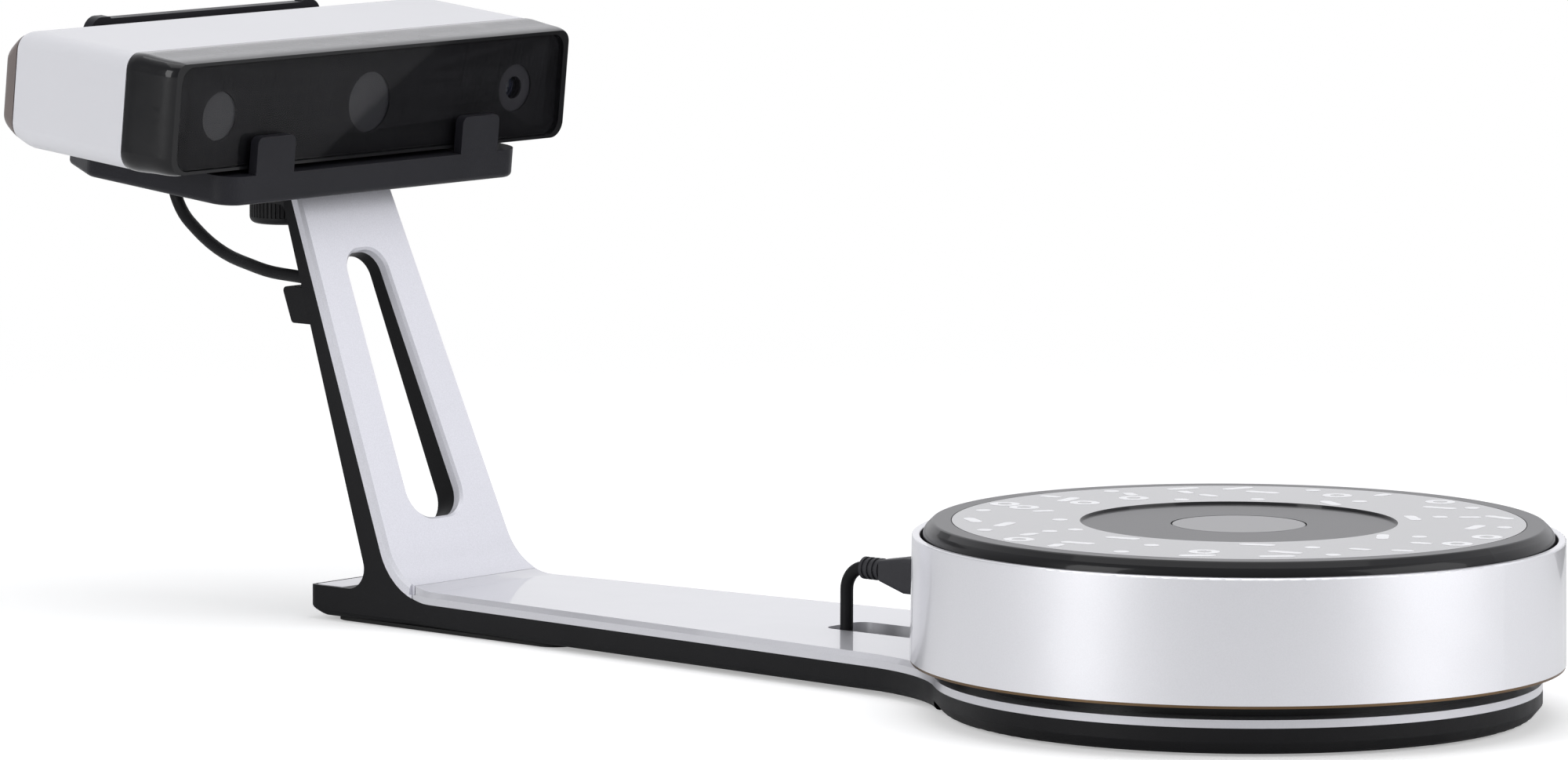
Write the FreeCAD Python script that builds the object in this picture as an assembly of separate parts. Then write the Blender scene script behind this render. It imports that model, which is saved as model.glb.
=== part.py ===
import FreeCAD, Part
import math
import os

os.makedirs("parts", exist_ok=True)

V = FreeCAD.Vector

# The part is drawn in millimetres about the platter's axis and then moved along X
# so that the whole object stands centred on the origin. +X is the platter's end,
# the head stands at the -X end and looks towards +X. Z zero is the table top.

# Cuts run past the face they open by this much.
overrun = 2.0
# Two flat plates of one assembly sit this far apart where they do not bear.
fit_gap = 0.3
# Running fit of a pin or shaft, on the radius.
running_gap = 0.05
# Shapes joined into one piece reach this far into each other.
weld = 1.0

# Turntable drum
drum_radius = 107.5
drum_draft = 0.5
drum_bottom_z = 16.8
drum_top_z = 58.6
drum_wall = 3.2
drum_ledge_width = 9.3
drum_ledge_top_z = 21.8
drum_floor_top_z = 19.8
neck_inset = 3.5
neck_bottom_z = 12.2
neck_wall = 3.0
drum_trim_height = 0.9
drum_trim_depth = 0.5
drum_edge_round = 0.6
drum_top_radius = drum_radius - drum_draft
drum_inner_radius = drum_radius - drum_wall
drum_ledge_radius = drum_inner_radius - drum_ledge_width
neck_radius = drum_ledge_radius - neck_inset

# Platter
platter_gap = 0.9
platter_radius = drum_inner_radius - platter_gap
platter_bulge_z = 60.0
platter_rim_inset = 3.1
platter_rim_radius = platter_radius - platter_rim_inset
platter_top_z = 63.1
platter_recess_z = 62.3
platter_skirt_z = 50.0
platter_skirt_wall = 1.8
platter_under_z = 59.5
platter_bulge_round = 4.0
platter_rim_round = 1.2
marker_inner_radius = 52.0
marker_margin = 6.1
marker_outer_radius = platter_rim_radius - marker_margin
marker_floor_z = 61.9
cap_radius = 22.0
cap_floor_z = 60.3
cap_groove = 0.3
cap_chamfer = 0.4
hub_radius = 12.0
hub_bottom_z = 34.0
hub_plate_radius = 26.0
hub_plate_z = 57.5

# Spindle, bush and thrust bearing
spindle_radius = 5.0
spindle_top_z = 58.6
spindle_boss_radius = 12.0
spindle_boss_top_z = 32.0
spindle_foot_z = 21.0
bush_radius = 8.0
bush_bottom_z = 34.0
bush_top_z = 56.6
clip_groove_radius = 4.2
clip_radius = 7.4
clip_bottom_z = 56.7
clip_top_z = 57.5
clip_mouth = 6.0
hub_counterbore_radius = 8.6
race_inner_radius = 42.0
race_outer_radius = 51.0
race_thickness = 3.0
bearing_wall = 2.4
ball_pitch_radius = (race_inner_radius + race_outer_radius) / 2
ball_radius = 2.45
ball_count = 16
cage_thickness = 1.6
cage_inset = 1.0
cage_inner_radius = race_inner_radius + cage_inset
cage_outer_radius = race_outer_radius - cage_inset

# Drive
gear_module = 1.25
ring_teeth = 96
pinion_teeth = 12
pressure_angle = 20.0
addendum_share = 0.9
dedendum_share = 1.25
backlash = 0.12
ring_gear_inner_radius = 54.0
ring_gear_bottom_z = 55.0
pinion_top_z = 59.0
motor_turn = 60.0
motor_radius = 11.5
motor_bottom_z = 21.8
motor_top_z = 50.0
motor_cap_radius = 7.0
motor_cap_height = 1.6
motor_shaft_radius = 1.5
motor_seat_wall = 2.0
motor_seat_top_z = 34.0

# Turntable board and its socket
board_thickness = 1.6
table_board_gap = 9.0
table_board_setback = 13.5
table_board_x0 = table_board_setback - drum_radius
table_board_x1 = -race_outer_radius - table_board_gap
table_board_y0 = -28.0
table_board_y1 = 14.0
table_board_z = 26.4
standoff_radius = 3.0
standoff_inset = 5.0
socket_y = -8.0
socket_width = 12.4
socket_depth = 14.0
socket_top_z = 40.4
socket_mouth_depth = 9.0
socket_wall = 0.9
socket_setback = 4.9
socket_front_x = socket_setback - drum_radius
chip_size = 9.0
chip_height = 1.2
chip_inset = 22.0
chip_x = table_board_x0 + chip_inset
chip_y = 2.0
plug_window_width = 13.0
plug_window_low_z = 28.0
plug_window_high_z = 41.4

# Base strip, round base and silver covers
base_inset = 7.6
base_radius = drum_radius - base_inset
base_low_inset = 3.5
base_low_radius = base_radius - base_low_inset
base_bottom_z = 0.6
base_round = 3.0
base_wall = 2.6
base_floor_z = 3.0
strip_bottom_z = 1.3
strip_floor_z = 3.3
strip_side_round = 2.6
cover_seat_z = 9.5
disc_cover_top_z = 12.2
deck_top_z = 13.7
deck_plate = 1.5
cover_rim = 2.2
deck_edge_band = 1.7
slot_bevel = 0.9
rear_half_width = 33.0
rear_half_x = -333.0
front_half_width = 48.5
front_half_x = -125.0
flare_radius = 72.0
seam_x = -333.0
seam_gap = 0.3
seam_notch = 1.4
saddle_top_z = 16.5
saddle_gap = 0.4
saddle_inset = 3.0
saddle_outer_radius = drum_radius - saddle_inset
saddle_inner_radius = neck_radius + saddle_gap
cutout_half_width = 10.5
cutout_reach = 60.5
cutout_end_x = -drum_radius - cutout_reach
cutout_round = 5.0

# Rear foot
foot_back_x = -381.5
foot_low_x = -380.4
foot_low_z = 4.7
foot_bevel_x = -373.7
foot_corner_round = 3.5
rear_cover_top_z = 11.8
rear_cover_front_x = -367.0
rear_cover_edge = 0.6
rear_rim = 1.5
foot_top_bevel = 0.9
rear_plate_back_x = -373.4
rear_plate_front_x = -265.0
rear_plate_inset = 3.0
rear_plate_round = 8.0

# Arm
arm_front_x = -353.8
arm_front_z = 47.8
arm_lean = 22.3
arm_skin = 3.6
arm_plate = 1.2
arm_wall = 1.9
arm_back_wall = 1.4
arm_back_x = -358.0
arm_back_z = 25.9
arm_back_lean = 20.21
arm_top_half_width = 24.1
arm_bevel = 1.1
arm_top_z = 147.0
arm_cavity_top_z = 138.0
bend_radius = 22.0
arm_back_round = 7.0
slot_top_z = 126.0
slot_bottom_z = 35.5
slot_top_half_width = 9.5
slot_bottom_half_width = 14.1
slot_top_round = 8.0
slot_bottom_round = 10.0
slot_collar = 1.8
slot_reach = 30.0

# Top flange and thumb screw
flange_under_z = 142.3
flange_end_x = -441.0
flange_end_half_width = 13.7
flange_end_round = 8.0
flange_inner_round = 4.0
screw_x = -423.2
stud_radius = 3.1
stud_hole_radius = 3.6
stud_top_z = 156.5
knob_radius = 12.0
knob_low_z = 133.0
knob_high_z = 141.0
knob_floor = 2.0
knob_edge_round = 2.4
knob_groove_radius = 0.45
knob_groove_count = 48
washer_radius = 9.0
insert_radius = 5.0
insert_bottom_z = 148.0
insert_top_z = 157.5

# Head, in its own frame: n forward, u sideways, v up, nose down by the tilt
head_x = -380.4
head_z = 177.7
head_tilt = 5.7
head_half_width = 105.0
head_low_v = -20.0
head_high_v = 20.8
head_low_round = 7.0
head_high_round = 5.5
head_wall = 2.0
bezel_front_n = 0.0
bezel_back_n = -20.6
shell_back_n = -73.0
seam_line = 0.4
cover_back_n = -79.0
cover_wall = 2.0
tongue_depth = 2.6
tongue_wall = 1.2
glass_side_rim = 6.0
glass_half_width = head_half_width - glass_side_rim
glass_low_v = -17.6
glass_high_v = 18.2
glass_round = 5.5
glass_thickness = 1.6
glass_setback = 0.5
glass_fit = 0.25
mask_thickness = 0.6
window_margin = 22.2
window_spacing = glass_half_width - window_margin
camera_window_radius = 8.5
projector_window_radius = 10.7
mask_rest = 1.6
frame_front_n = -26.0
frame_back_n = -29.0
frame_side_gap = 7.0
frame_half_width = head_half_width - frame_side_gap
frame_half_height = 15.0
frame_round = 4.0
camera_barrel_radius = 7.6
camera_barrel_wall = 1.4
camera_barrel_front_n = -4.0
camera_lens_depth = 3.4
projector_barrel_radius = 9.8
projector_lens_depth = 4.0
sensor_board_half_width = 14.0
sensor_board_half_height = 13.0
sensor_size = 9.0
sensor_height = 1.8
engine_half_width = 16.0
engine_half_height = 13.5
engine_back_n = -46.0
engine_hole_radius = 6.0
sink_half_width = 17.0
sink_half_height = 14.0
sink_plate = 2.0
sink_back_n = -57.0
fin_thickness = 1.0
fin_count = 9
fan_half_size = 15.0
fan_front_n = -58.0
fan_back_n = -68.0
fan_bore_radius = 14.0
fan_hub_radius = 6.5
fan_hub_cup = 1.2
fan_axle_radius = 1.0
fan_blade_radius = 13.2
fan_blade_count = 7
fan_blade_thickness = 0.9
fan_blade_front_n = -60.0
fan_blade_back_n = -66.0
fan_spoke_width = 2.0
fan_spoke_depth = 1.2
fan_corner_round = 3.0
fan_post_radius = 2.4
fan_post_at = 12.0
main_board_u0 = 24.0
main_board_u1 = 90.5
main_board_n0 = -71.0
main_board_n1 = -36.0
main_board_v = -13.0
main_board_post_radius = 2.6
main_board_post_inset = 4.5
head_chip_half = 7.0
head_chip_height = 1.4
vent_half_length = 15.0
vent_height = 2.0
vent_pitch = 4.2
vent_rows = 4
vent_u = 0.0
port_usb_u = 40.0
port_usb_half_width = 6.0
port_usb_high = 10.8
port_power_u = 62.0
port_power_half_width = 5.0
port_power_high = 11.0
port_depth = 11.0
port_wall = 0.8
port_pin_radius = 1.0
port_fit = 0.35
link_port_u = 0.0
link_port_v = -9.2
link_port_half = 4.6
link_port_depth = 9.0
button_u = 82.0
button_v = 2.0
button_radius = 4.5
button_out = 1.4
button_flange_radius = 6.0
button_flange_depth = 1.0
button_base_half = 5.0
button_base_depth = 6.0
button_stem_radius = 1.6
button_board_n = -66.0
head_screw_inset = 9.0
head_screw_u = head_half_width - head_screw_inset
head_screw_v = 8.5
head_screw_radius = 1.4
head_screw_head_radius = 2.6
head_screw_head_depth = 1.8
head_screw_length = 12.0
head_post_radius = 3.6

# Stations of the head's ends: depth, then how far the sides, the top and the
# underside have drawn in there.
bezel_stations = [
    (-20.6, 0.0, 0.0, 0.0),
    (-12.0, 0.3, 0.1, 0.1),
    (-6.0, 1.0, 0.35, 0.35),
    (-2.2, 1.9, 0.6, 0.6),
    (0.0, 3.2, 1.1, 1.1),
]
bezel_inner_front = 3.9
bezel_step_n = -9.0
shell_end_stations = [
    (-66.0, 0.0, 0.0, 0.0),
    (-68.0, 0.0, 0.05, 0.35),
    (-70.0, 0.0, 0.3, 0.95),
    (-71.5, 0.0, 0.8, 1.5),
    (-72.6, 0.0, 1.35, 1.95),
]
rear_stations = [
    (-73.0, 0.0, 1.6, 2.1),
    (-75.0, 0.1, 3.2, 3.1),
    (-77.0, 0.6, 5.3, 4.3),
    (-78.4, 1.4, 7.0, 5.3),
    (-79.0, 2.4, 8.2, 6.0),
]
rear_cover_extra = 5.6
rear_tongue_inset = 4.0
rear_tongue_depth = 0.8
vent_v = 4.4
vent_round_share = 0.9
frame_tab_u = 45.0
frame_tab_half = 6.0
sensor_window_radius = 6.8
nose_thickness = 1.2
camera_nose_open = 4.2
projector_nose_open = 7.6
dome_share = 1.5
fan_blade_pitch = 50.0
button_stem_front_n = -70.2

# Cradle that holds the head
lip_back_n = 0.5
lip_front_n = 4.0
cradle_low_v = -30.9
cradle_seat_v = -20.6
cradle_half_width = 76.6
cradle_back_n = -85.3
cradle_rear_half_width = 62.5
cradle_slant_n = -62.0
cradle_wall = 2.4
cradle_top = 2.2
cradle_corner_round = 8.0
cradle_rear_round = 6.0
lip_corner_round = 8.5
cradle_edge_round = 1.8
boss_core_radius = 7.5
boss_skin = 2.0
hook_inner_u = 43.5
hook_outer_u = 62.8
hook_top_v = -7.4
hook_round = 2.6
frame_post_front_n = -81.5
frame_post_inner_u = 49.5
frame_post_outer_u = 59.5
frame_bar_low_v = 13.0
frame_bar_high_v = 20.2
frame_bump_high_v = 20.9
frame_bar_round = 1.0
frame_bump_round = 5.5
cradle_boss_half_width = 17.0
cradle_boss_back_x = -440.0
cradle_boss_front_x = -400.5
cradle_boss_round = 6.0
cradle_rib = 2.0
rib_half_spacing = 36.0
pad_u0 = 30.0
pad_u1 = 66.0
pad_front_n = -24.0
pad_rear_n = -62.0
pad_width = 10.0
pad_depth = 0.6

# Clip block on the back of the near rail
clip_y0 = -25.8
clip_y1 = -16.4
clip_low_z = 101.6
clip_high_z = 114.2
clip_out = 9.3
clip_plate = 0.6
clip_plate_y0 = -25.0
clip_plate_y1 = -14.6
clip_plate_low_s = 103.2
clip_plate_high_s = 130.0
clip_round = 1.5

# Link cable with its two plugs
cable_radius = 2.2
cable_room = 0.35
cable_y_rail = -19.6
cable_hole_z = 116.6
cable_low_z = 6.6
cable_up_reach = 51.8
cable_up_x = -drum_radius - cable_up_reach
cable_up_y = -8.0
cable_plug_z = 35.3
cable_relief_reach = 43.8
cable_relief_x = -drum_radius - cable_relief_reach
cable_end_x = -139.0
head_plug_out_n = -99.0
head_plug_half = 5.0
head_plug_low_v = -24.0
head_plug_high_v = -4.2
head_plug_inner_n = -88.6
head_plug_round = 2.0
head_plug_pin_depth = 6.0
# A bend takes this share of the shorter run beside it, up to its limit.
bend_share = 0.45
free_bend = 90.0
rail_top_bend = 8.0
rail_foot_bend = 38.0
deck_bend = 8.0
plug_bend = 8.0
cable_points = [
    (-477.6, 0.0, 168.0),
    (-476.8, -0.5, 137.0),
    (-448.0, -8.0, 121.6),
    (-416.0, -15.6, 117.2),
]
drum_plug_back_reach = 23.5
drum_plug_back_x = -drum_radius - drum_plug_back_reach
drum_plug_neck_reach = 34.8
drum_plug_neck_x = -drum_radius - drum_plug_neck_reach
drum_plug_width = 11.6
drum_plug_low_z = 28.7
drum_plug_high_z = 40.8
drum_plug_neck_low_z = 31.6
drum_plug_neck_high_z = 39.0
drum_plug_neck_width = 8.4
drum_plug_stop_depth = 0.9
drum_plug_stop_x = drum_plug_stop_depth - drum_radius
drum_plug_tip_depth = 11.0
drum_plug_tip_x = drum_plug_tip_depth - drum_radius
drum_plug_tip_width = 10.5
drum_plug_tip_low_z = 29.0
drum_plug_tip_high_z = 39.4
drum_plug_round = 1.6
relief_radius = 3.3
relief_rib = 0.5
relief_rib_count = 4

# Fasteners, feet and inner steel of the stand
foot_pad_radius = 7.0
foot_pad_inset = 17.9
foot_pad_orbit = base_radius - foot_pad_inset
foot_pad_depth = 1.4
foot_pad_count = 6
foot_pad_turn = 30.0
base_screw_radius = 1.5
base_screw_head_radius = 2.8
base_screw_head_depth = 2.0
base_screw_inset = 17.9
base_screw_orbit = base_radius - base_screw_inset
base_screw_top_z = 18.4
base_screw_count = 3
base_screw_turn = 90.0
base_post_radius = 4.5
ballast_inset = 25.9
ballast_radius = base_radius - ballast_inset
ballast_hole_radius = 18.0
ballast_thickness = 4.0
stiffener_x0 = -322.0
stiffener_x1 = -184.0
stiffener_y0 = -2.0
stiffener_y1 = 20.0
stiffener_thickness = 2.0
stiffener_lip = 5.0
stand_screw_x = [-205.0, -300.0]
stand_screw_y = 9.0
stand_screw_head_radius = 3.2
stand_screw_head_depth = 1.6
stand_screw_radius = 1.5
stand_boss_radius = 3.6
drum_screw_count = 4
drum_screw_inset = 5.8
drum_screw_orbit = drum_inner_radius - drum_screw_inset
drum_screw_turn = 45.0
drum_screw_radius = 1.3
drum_screw_head_radius = 2.4
drum_screw_head_depth = 1.2
drum_boss_radius = 3.4
drum_boss_top_z = 30.0

# Sizes worked out from the ones above
tilt_cos = math.cos(math.radians(head_tilt))
tilt_sin = math.sin(math.radians(head_tilt))
lean_cos = math.cos(math.radians(arm_lean))
lean_sin = math.sin(math.radians(arm_lean))
lean_tan = math.tan(math.radians(arm_lean))
back_cos = math.cos(math.radians(arm_back_lean))
back_tan = math.tan(math.radians(arm_back_lean))
rear_reach = -(head_x + head_plug_out_n * tilt_cos + head_plug_low_v * tilt_sin)
table_x = (rear_reach - drum_radius) / 2
edge_slope = (front_half_width - rear_half_width) / (front_half_x - rear_half_x)
arm_edge_slope = (rear_half_width - arm_top_half_width) / (arm_top_z - deck_top_z)
wide = drum_radius
far_back_x = -(rear_reach + wide)
cutout_front_x = -(base_radius + fit_gap)
room_top_z = deck_top_z - deck_plate
screw_seat_z = foot_pad_depth + fit_gap + base_screw_head_depth
tiny = 1e-6


def disc(radius, low, high, x=0.0, y=0.0):
    """Upright round bar between two heights."""
    return Part.makeCylinder(radius, high - low, V(x, y, low))


def ring(outer, inner, low, high, x=0.0, y=0.0):
    """Upright round tube between two heights."""
    bore = disc(inner, low - overrun, high + overrun, x, y)
    return disc(outer, low, high, x, y).cut(bore)


def block(x0, x1, y0, y1, z0, z1):
    """Box between two corners."""
    return Part.makeBox(x1 - x0, y1 - y0, z1 - z0, V(x0, y0, z0))


def rod(radius, back, front, y, z):
    """Round bar along X between two stations."""
    return Part.makeCylinder(radius, front - back, V(back, y, z), V(1, 0, 0))


def joined(shapes):
    """One solid from overlapping ones, with its leftover seams taken out."""
    whole = shapes[0]
    if len(shapes) > 1:
        whole = shapes[0].multiFuse(shapes[1:])
    return whole.removeSplitter()


def corner_wire(corners, place):
    """Closed wire through corners (a, b, radius); place turns (a, b) into a point."""
    starts = []
    ends = []
    arcs = []
    count = len(corners)
    for index in range(count):
        a, b, radius = corners[index]
        pa, pb = corners[index - 1][:2]
        na, nb = corners[(index + 1) % count][:2]
        back = math.hypot(pa - a, pb - b)
        ahead = math.hypot(na - a, nb - b)
        ua, ub = (pa - a) / back, (pb - b) / back
        va, vb = (na - a) / ahead, (nb - b) / ahead
        if radius <= tiny:
            starts.append((a, b))
            ends.append((a, b))
            arcs.append(None)
            continue
        half = math.acos(max(-1.0, min(1.0, ua * va + ub * vb))) / 2
        run = radius / math.tan(half)
        starts.append((a + ua * run, b + ub * run))
        ends.append((a + va * run, b + vb * run))
        wa, wb = ua + va, ub + vb
        size = math.hypot(wa, wb)
        reach = radius / math.sin(half) - radius
        arcs.append((a + wa / size * reach, b + wb / size * reach))
    edges = []
    for index in range(count):
        if arcs[index] is not None:
            points = [starts[index], arcs[index], ends[index]]
            edges.append(Part.Arc(*[place(p[0], p[1]) for p in points]).toShape())
        here = ends[index]
        there = starts[(index + 1) % count]
        if math.hypot(there[0] - here[0], there[1] - here[1]) > tiny:
            edges.append(Part.LineSegment(place(*here), place(*there)).toShape())
    return Part.Wire(edges)


def plan_prism(corners, low, high):
    """Outline in plan, (x, y, radius), raised between two heights."""
    wire = corner_wire(corners, lambda a, b: V(a, b, low))
    return Part.Face(wire).extrude(V(0, 0, high - low))


def side_prism(corners, near, far):
    """Outline in side view, (x, z, radius), drawn across from near to far."""
    wire = corner_wire(corners, lambda a, b: V(a, near, b))
    return Part.Face(wire).extrude(V(0, far - near, 0))


def front_prism(corners, back, front):
    """Outline seen from the front, (y, z, radius), drawn along X."""
    wire = corner_wire(corners, lambda a, b: V(back, a, b))
    return Part.Face(wire).extrude(V(front - back, 0, 0))


def turned(profile):
    """Solid of revolution about the platter's axis from (radius, z, round) corners."""
    wire = corner_wire(profile, lambda a, b: V(a, 0, b))
    return Part.Face(wire).revolve(V(0, 0, 0), V(0, 0, 1), 360)


def box_corners(a0, a1, b0, b1, radius):
    """Corners of a rectangle, all rounded alike."""
    return [(a0, b0, radius), (a1, b0, radius), (a1, b1, radius), (a0, b1, radius)]


def arm_point(y, s, out):
    """Point on the arm's front plane: y across, s along it from its foot, out from it."""
    foot = arm_front_x + lean_tan * arm_front_z
    return V(foot - s * lean_sin + out * lean_cos, y, s * lean_cos + out * lean_sin)


def arm_prism(corners, near, far):
    """Outline on the arm's front plane, (y, s, radius), between two depths behind it."""
    wire = corner_wire(corners, lambda a, b: arm_point(a, b, -near))
    depth = far - near
    return Part.Face(wire).extrude(V(-lean_cos * depth, 0, -lean_sin * depth))


def front_x(z, depth=0.0):
    """Where the arm's front plane, moved in by a depth, stands at a height."""
    return arm_front_x - lean_tan * (z - arm_front_z) - depth / lean_cos


def back_x(z, depth=0.0):
    """Where the arm's back plane, moved in by a depth, stands at a height."""
    return arm_back_x - back_tan * (z - arm_back_z) + depth / back_cos


def edge_y(x, inset=0.0):
    """Half width of the base strip at a station."""
    slope_size = math.hypot(1.0, edge_slope)
    return rear_half_width + edge_slope * (x - rear_half_x) - inset * slope_size


def strip_outline(inset):
    """Plan of the base strip with its flare into the round base, pulled in by inset."""
    radius = flare_radius + inset
    orbit = base_radius + flare_radius
    slope_size = math.hypot(1.0, edge_slope)
    rise = edge_y(0.0) + flare_radius * slope_size
    a = 1.0 + edge_slope * edge_slope
    b = rise * edge_slope
    c = rise * rise - orbit * orbit
    centre_x = (-b - math.sqrt(b * b - a * c)) / a
    centre_y = rise + edge_slope * centre_x
    circle = base_radius - inset
    touch_x = centre_x * circle / orbit
    touch_y = centre_y * circle / orbit
    line_y = edge_y(0.0, inset)
    corner_x = (circle * circle - line_y * touch_y) / (touch_x + edge_slope * touch_y)
    corner_y = line_y + edge_slope * corner_x
    rear_y = edge_y(rear_half_x, inset)
    rear_x = foot_back_x + inset
    low = [
        (rear_x, -rear_y, foot_corner_round),
        (rear_half_x, -rear_y, 0.0),
        (corner_x, -corner_y, radius),
        (touch_x, -touch_y, 0.0),
    ]
    high = [(x, -y, r) for x, y, r in reversed(low)]
    return low + high


def arm_outline(inset):
    """Arm seen from the front, pulled in by inset, running past it top and bottom."""
    low = -overrun
    high = arm_top_z + wide
    foot = rear_half_width + arm_edge_slope * (deck_top_z - low) - inset
    top = rear_half_width + arm_edge_slope * (deck_top_z - high) - inset
    return [(-foot, low, 0.0), (foot, low, 0.0), (top, high, 0.0), (-top, high, 0.0)]


def slot_corners(grow):
    """Opening through the arm, on its front plane, grown by a margin."""
    top = slot_top_z / lean_cos + grow
    bottom = slot_bottom_z / lean_cos - grow
    return [
        (-slot_bottom_half_width - grow, bottom, slot_bottom_round + grow),
        (slot_bottom_half_width + grow, bottom, slot_bottom_round + grow),
        (slot_top_half_width + grow, top, slot_top_round + grow),
        (-slot_top_half_width - grow, top, slot_top_round + grow),
    ]


def slot_prism(grow, near, far):
    """Prism of the arm's opening between two depths behind the front plane."""
    return arm_prism(slot_corners(grow), near, far)


def spread(count, turn):
    """Angles in radians, evenly round the circle from a first turn in degrees."""
    return [math.radians(turn + 360.0 * index / count) for index in range(count)]


def foot_spots():
    """Centres of the pads under the round base."""
    spots = []
    for angle in spread(foot_pad_count, foot_pad_turn):
        spots.append((foot_pad_orbit * math.cos(angle), foot_pad_orbit * math.sin(angle)))
    return spots


def base_screw_spots():
    """Centres of the screws that hold the drum to the round base."""
    spots = []
    for angle in spread(base_screw_count, base_screw_turn):
        x = base_screw_orbit * math.cos(angle)
        spots.append((x, base_screw_orbit * math.sin(angle)))
    return spots


def cable_corners():
    """Corners of the cable's route from the head plug to the drum plug."""
    lift = arm_back_wall + cable_room + cable_radius
    rail_top = (back_x(cable_hole_z, lift), cable_y_rail, cable_hole_z)
    rail_foot = (back_x(cable_low_z, lift), cable_y_rail, cable_low_z)
    turn_up = (cable_up_x, cable_up_y, cable_low_z)
    over = (cable_up_x, cable_up_y, cable_plug_z)
    end = (cable_end_x, cable_up_y, cable_plug_z)
    stops = list(cable_points) + [rail_top, rail_foot, turn_up, over, end]
    return [V(*stop) for stop in stops]


def cable_route():
    """Straight runs joined by tangent arcs, as one wire, with its bend radii."""
    corners = cable_corners()
    limits = [free_bend] * len(cable_points[1:])
    limits += [rail_top_bend, rail_foot_bend, deck_bend, plug_bend]
    edges = []
    radii = []
    here = corners[0]
    for index in range(1, len(corners) - 1):
        before, corner, after = corners[index - 1 : index + 2]
        back = before - corner
        ahead = after - corner
        half = back.getAngle(ahead) / 2
        radius = bend_share * min(back.Length, ahead.Length) * math.tan(half)
        radius = min(radius, limits[index - 1])
        run = radius / math.tan(half)
        back.normalize()
        ahead.normalize()
        middle = back + ahead
        middle.normalize()
        start = corner + back * run
        top = corner + middle * (radius / math.sin(half) - radius)
        end = corner + ahead * run
        edges.append(Part.LineSegment(here, start).toShape())
        edges.append(Part.Arc(start, top, end).toShape())
        radii.append(radius)
        here = end
    edges.append(Part.LineSegment(here, corners[-1]).toShape())
    return Part.Wire(edges), radii


def cable_solid(radius):
    """Round cord of a radius along the cable's route."""
    route, radii = cable_route()
    corners = cable_corners()
    section = Part.Circle(corners[0], corners[1] - corners[0], radius).toShape()
    cord = route.makePipeShell([Part.Wire([section])], True, False)
    return cord, route, radii


def softened(shape, size, test, sharp=False):
    """Edges that pass a test, rounded or, when sharp, bevelled."""
    edges = [edge for edge in shape.Edges if test(edge)]
    if sharp:
        return shape.makeChamfer(size, edges)
    return shape.makeFillet(size, edges)


def span(edge):
    """Bounds of an edge."""
    return edge.BoundBox


def arm_room():
    """Hollow of the arm channel, from the strip's floor to below the flange."""
    corner = front_x(room_top_z, arm_plate)
    room = side_prism([
        (front_x(arm_cavity_top_z, arm_plate), arm_cavity_top_z, 0.0),
        (corner, room_top_z, bend_radius + deck_plate),
        (seam_x, room_top_z, 0.0),
        (seam_x, strip_floor_z, 0.0),
        (back_x(strip_floor_z, arm_back_wall), strip_floor_z, 0.0),
        (back_x(arm_cavity_top_z, arm_back_wall), arm_cavity_top_z, 0.0),
    ], -wide, wide)
    room = room.common(front_prism(arm_outline(arm_wall), far_back_x, 0.0))
    return room.cut(slot_prism(slot_collar, -overrun, slot_reach))


def cutout_prism(grow, low, high):
    """Cut-out in the deck where the cable comes up, grown by a margin."""
    half = cutout_half_width + grow
    back = cutout_end_x - grow
    front = cutout_front_x + grow
    round_off = cutout_round + grow
    corners = [
        (back, -half, round_off),
        (front, -half, 0.0),
        (front, half, 0.0),
        (back, half, round_off),
    ]
    return plan_prism(corners, low, high)


def strip_room():
    """Hollow of the base strip below the deck, up to the cover's plate."""
    outline = strip_outline(base_wall)
    low = plan_prism(outline, strip_floor_z, cover_seat_z)
    high = plan_prism(outline, cover_seat_z, room_top_z)
    high = high.cut(disc(base_radius, cover_seat_z - overrun, room_top_z + overrun))
    high = high.cut(block(far_back_x, seam_x, -wide, wide, 0.0, arm_top_z))
    high = high.cut(cutout_prism(cover_rim, cover_seat_z - overrun, room_top_z + overrun))
    return low, high


def rear_deck_prism(inset, low, high):
    """Plan of the foot behind the arm, pulled in by an inset, between two heights."""
    half = rear_half_width - inset
    back = foot_back_x + inset
    round_off = foot_corner_round - inset
    return plan_prism([
        (back, -half, round_off),
        (rear_cover_front_x, -half, 0.0),
        (rear_cover_front_x, half, 0.0),
        (back, half, round_off),
    ], low, high)


def foot_end():
    """What is taken off the rear end of the strip, below and above its widest line."""
    past = foot_back_x - overrun
    low = side_prism([
        (past, strip_bottom_z - overrun, 0.0),
        (foot_bevel_x, strip_bottom_z - overrun, 0.0),
        (foot_bevel_x, strip_bottom_z, 0.0),
        (foot_low_x, foot_low_z, 0.0),
        (foot_back_x, cover_seat_z, 0.0),
        (past, cover_seat_z, 0.0),
    ], -wide, wide)
    high = side_prism([
        (past, cover_seat_z, 0.0),
        (foot_back_x, cover_seat_z, 0.0),
        (foot_back_x + foot_top_bevel, rear_cover_top_z, 0.0),
        (foot_back_x + foot_top_bevel, arm_top_z, 0.0),
        (past, arm_top_z, 0.0),
    ], -wide, wide)
    behind = block(foot_back_x, foot_bevel_x, -wide, wide, cover_seat_z, rear_cover_top_z)
    return joined_cuts([low, high.common(behind)])


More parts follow.
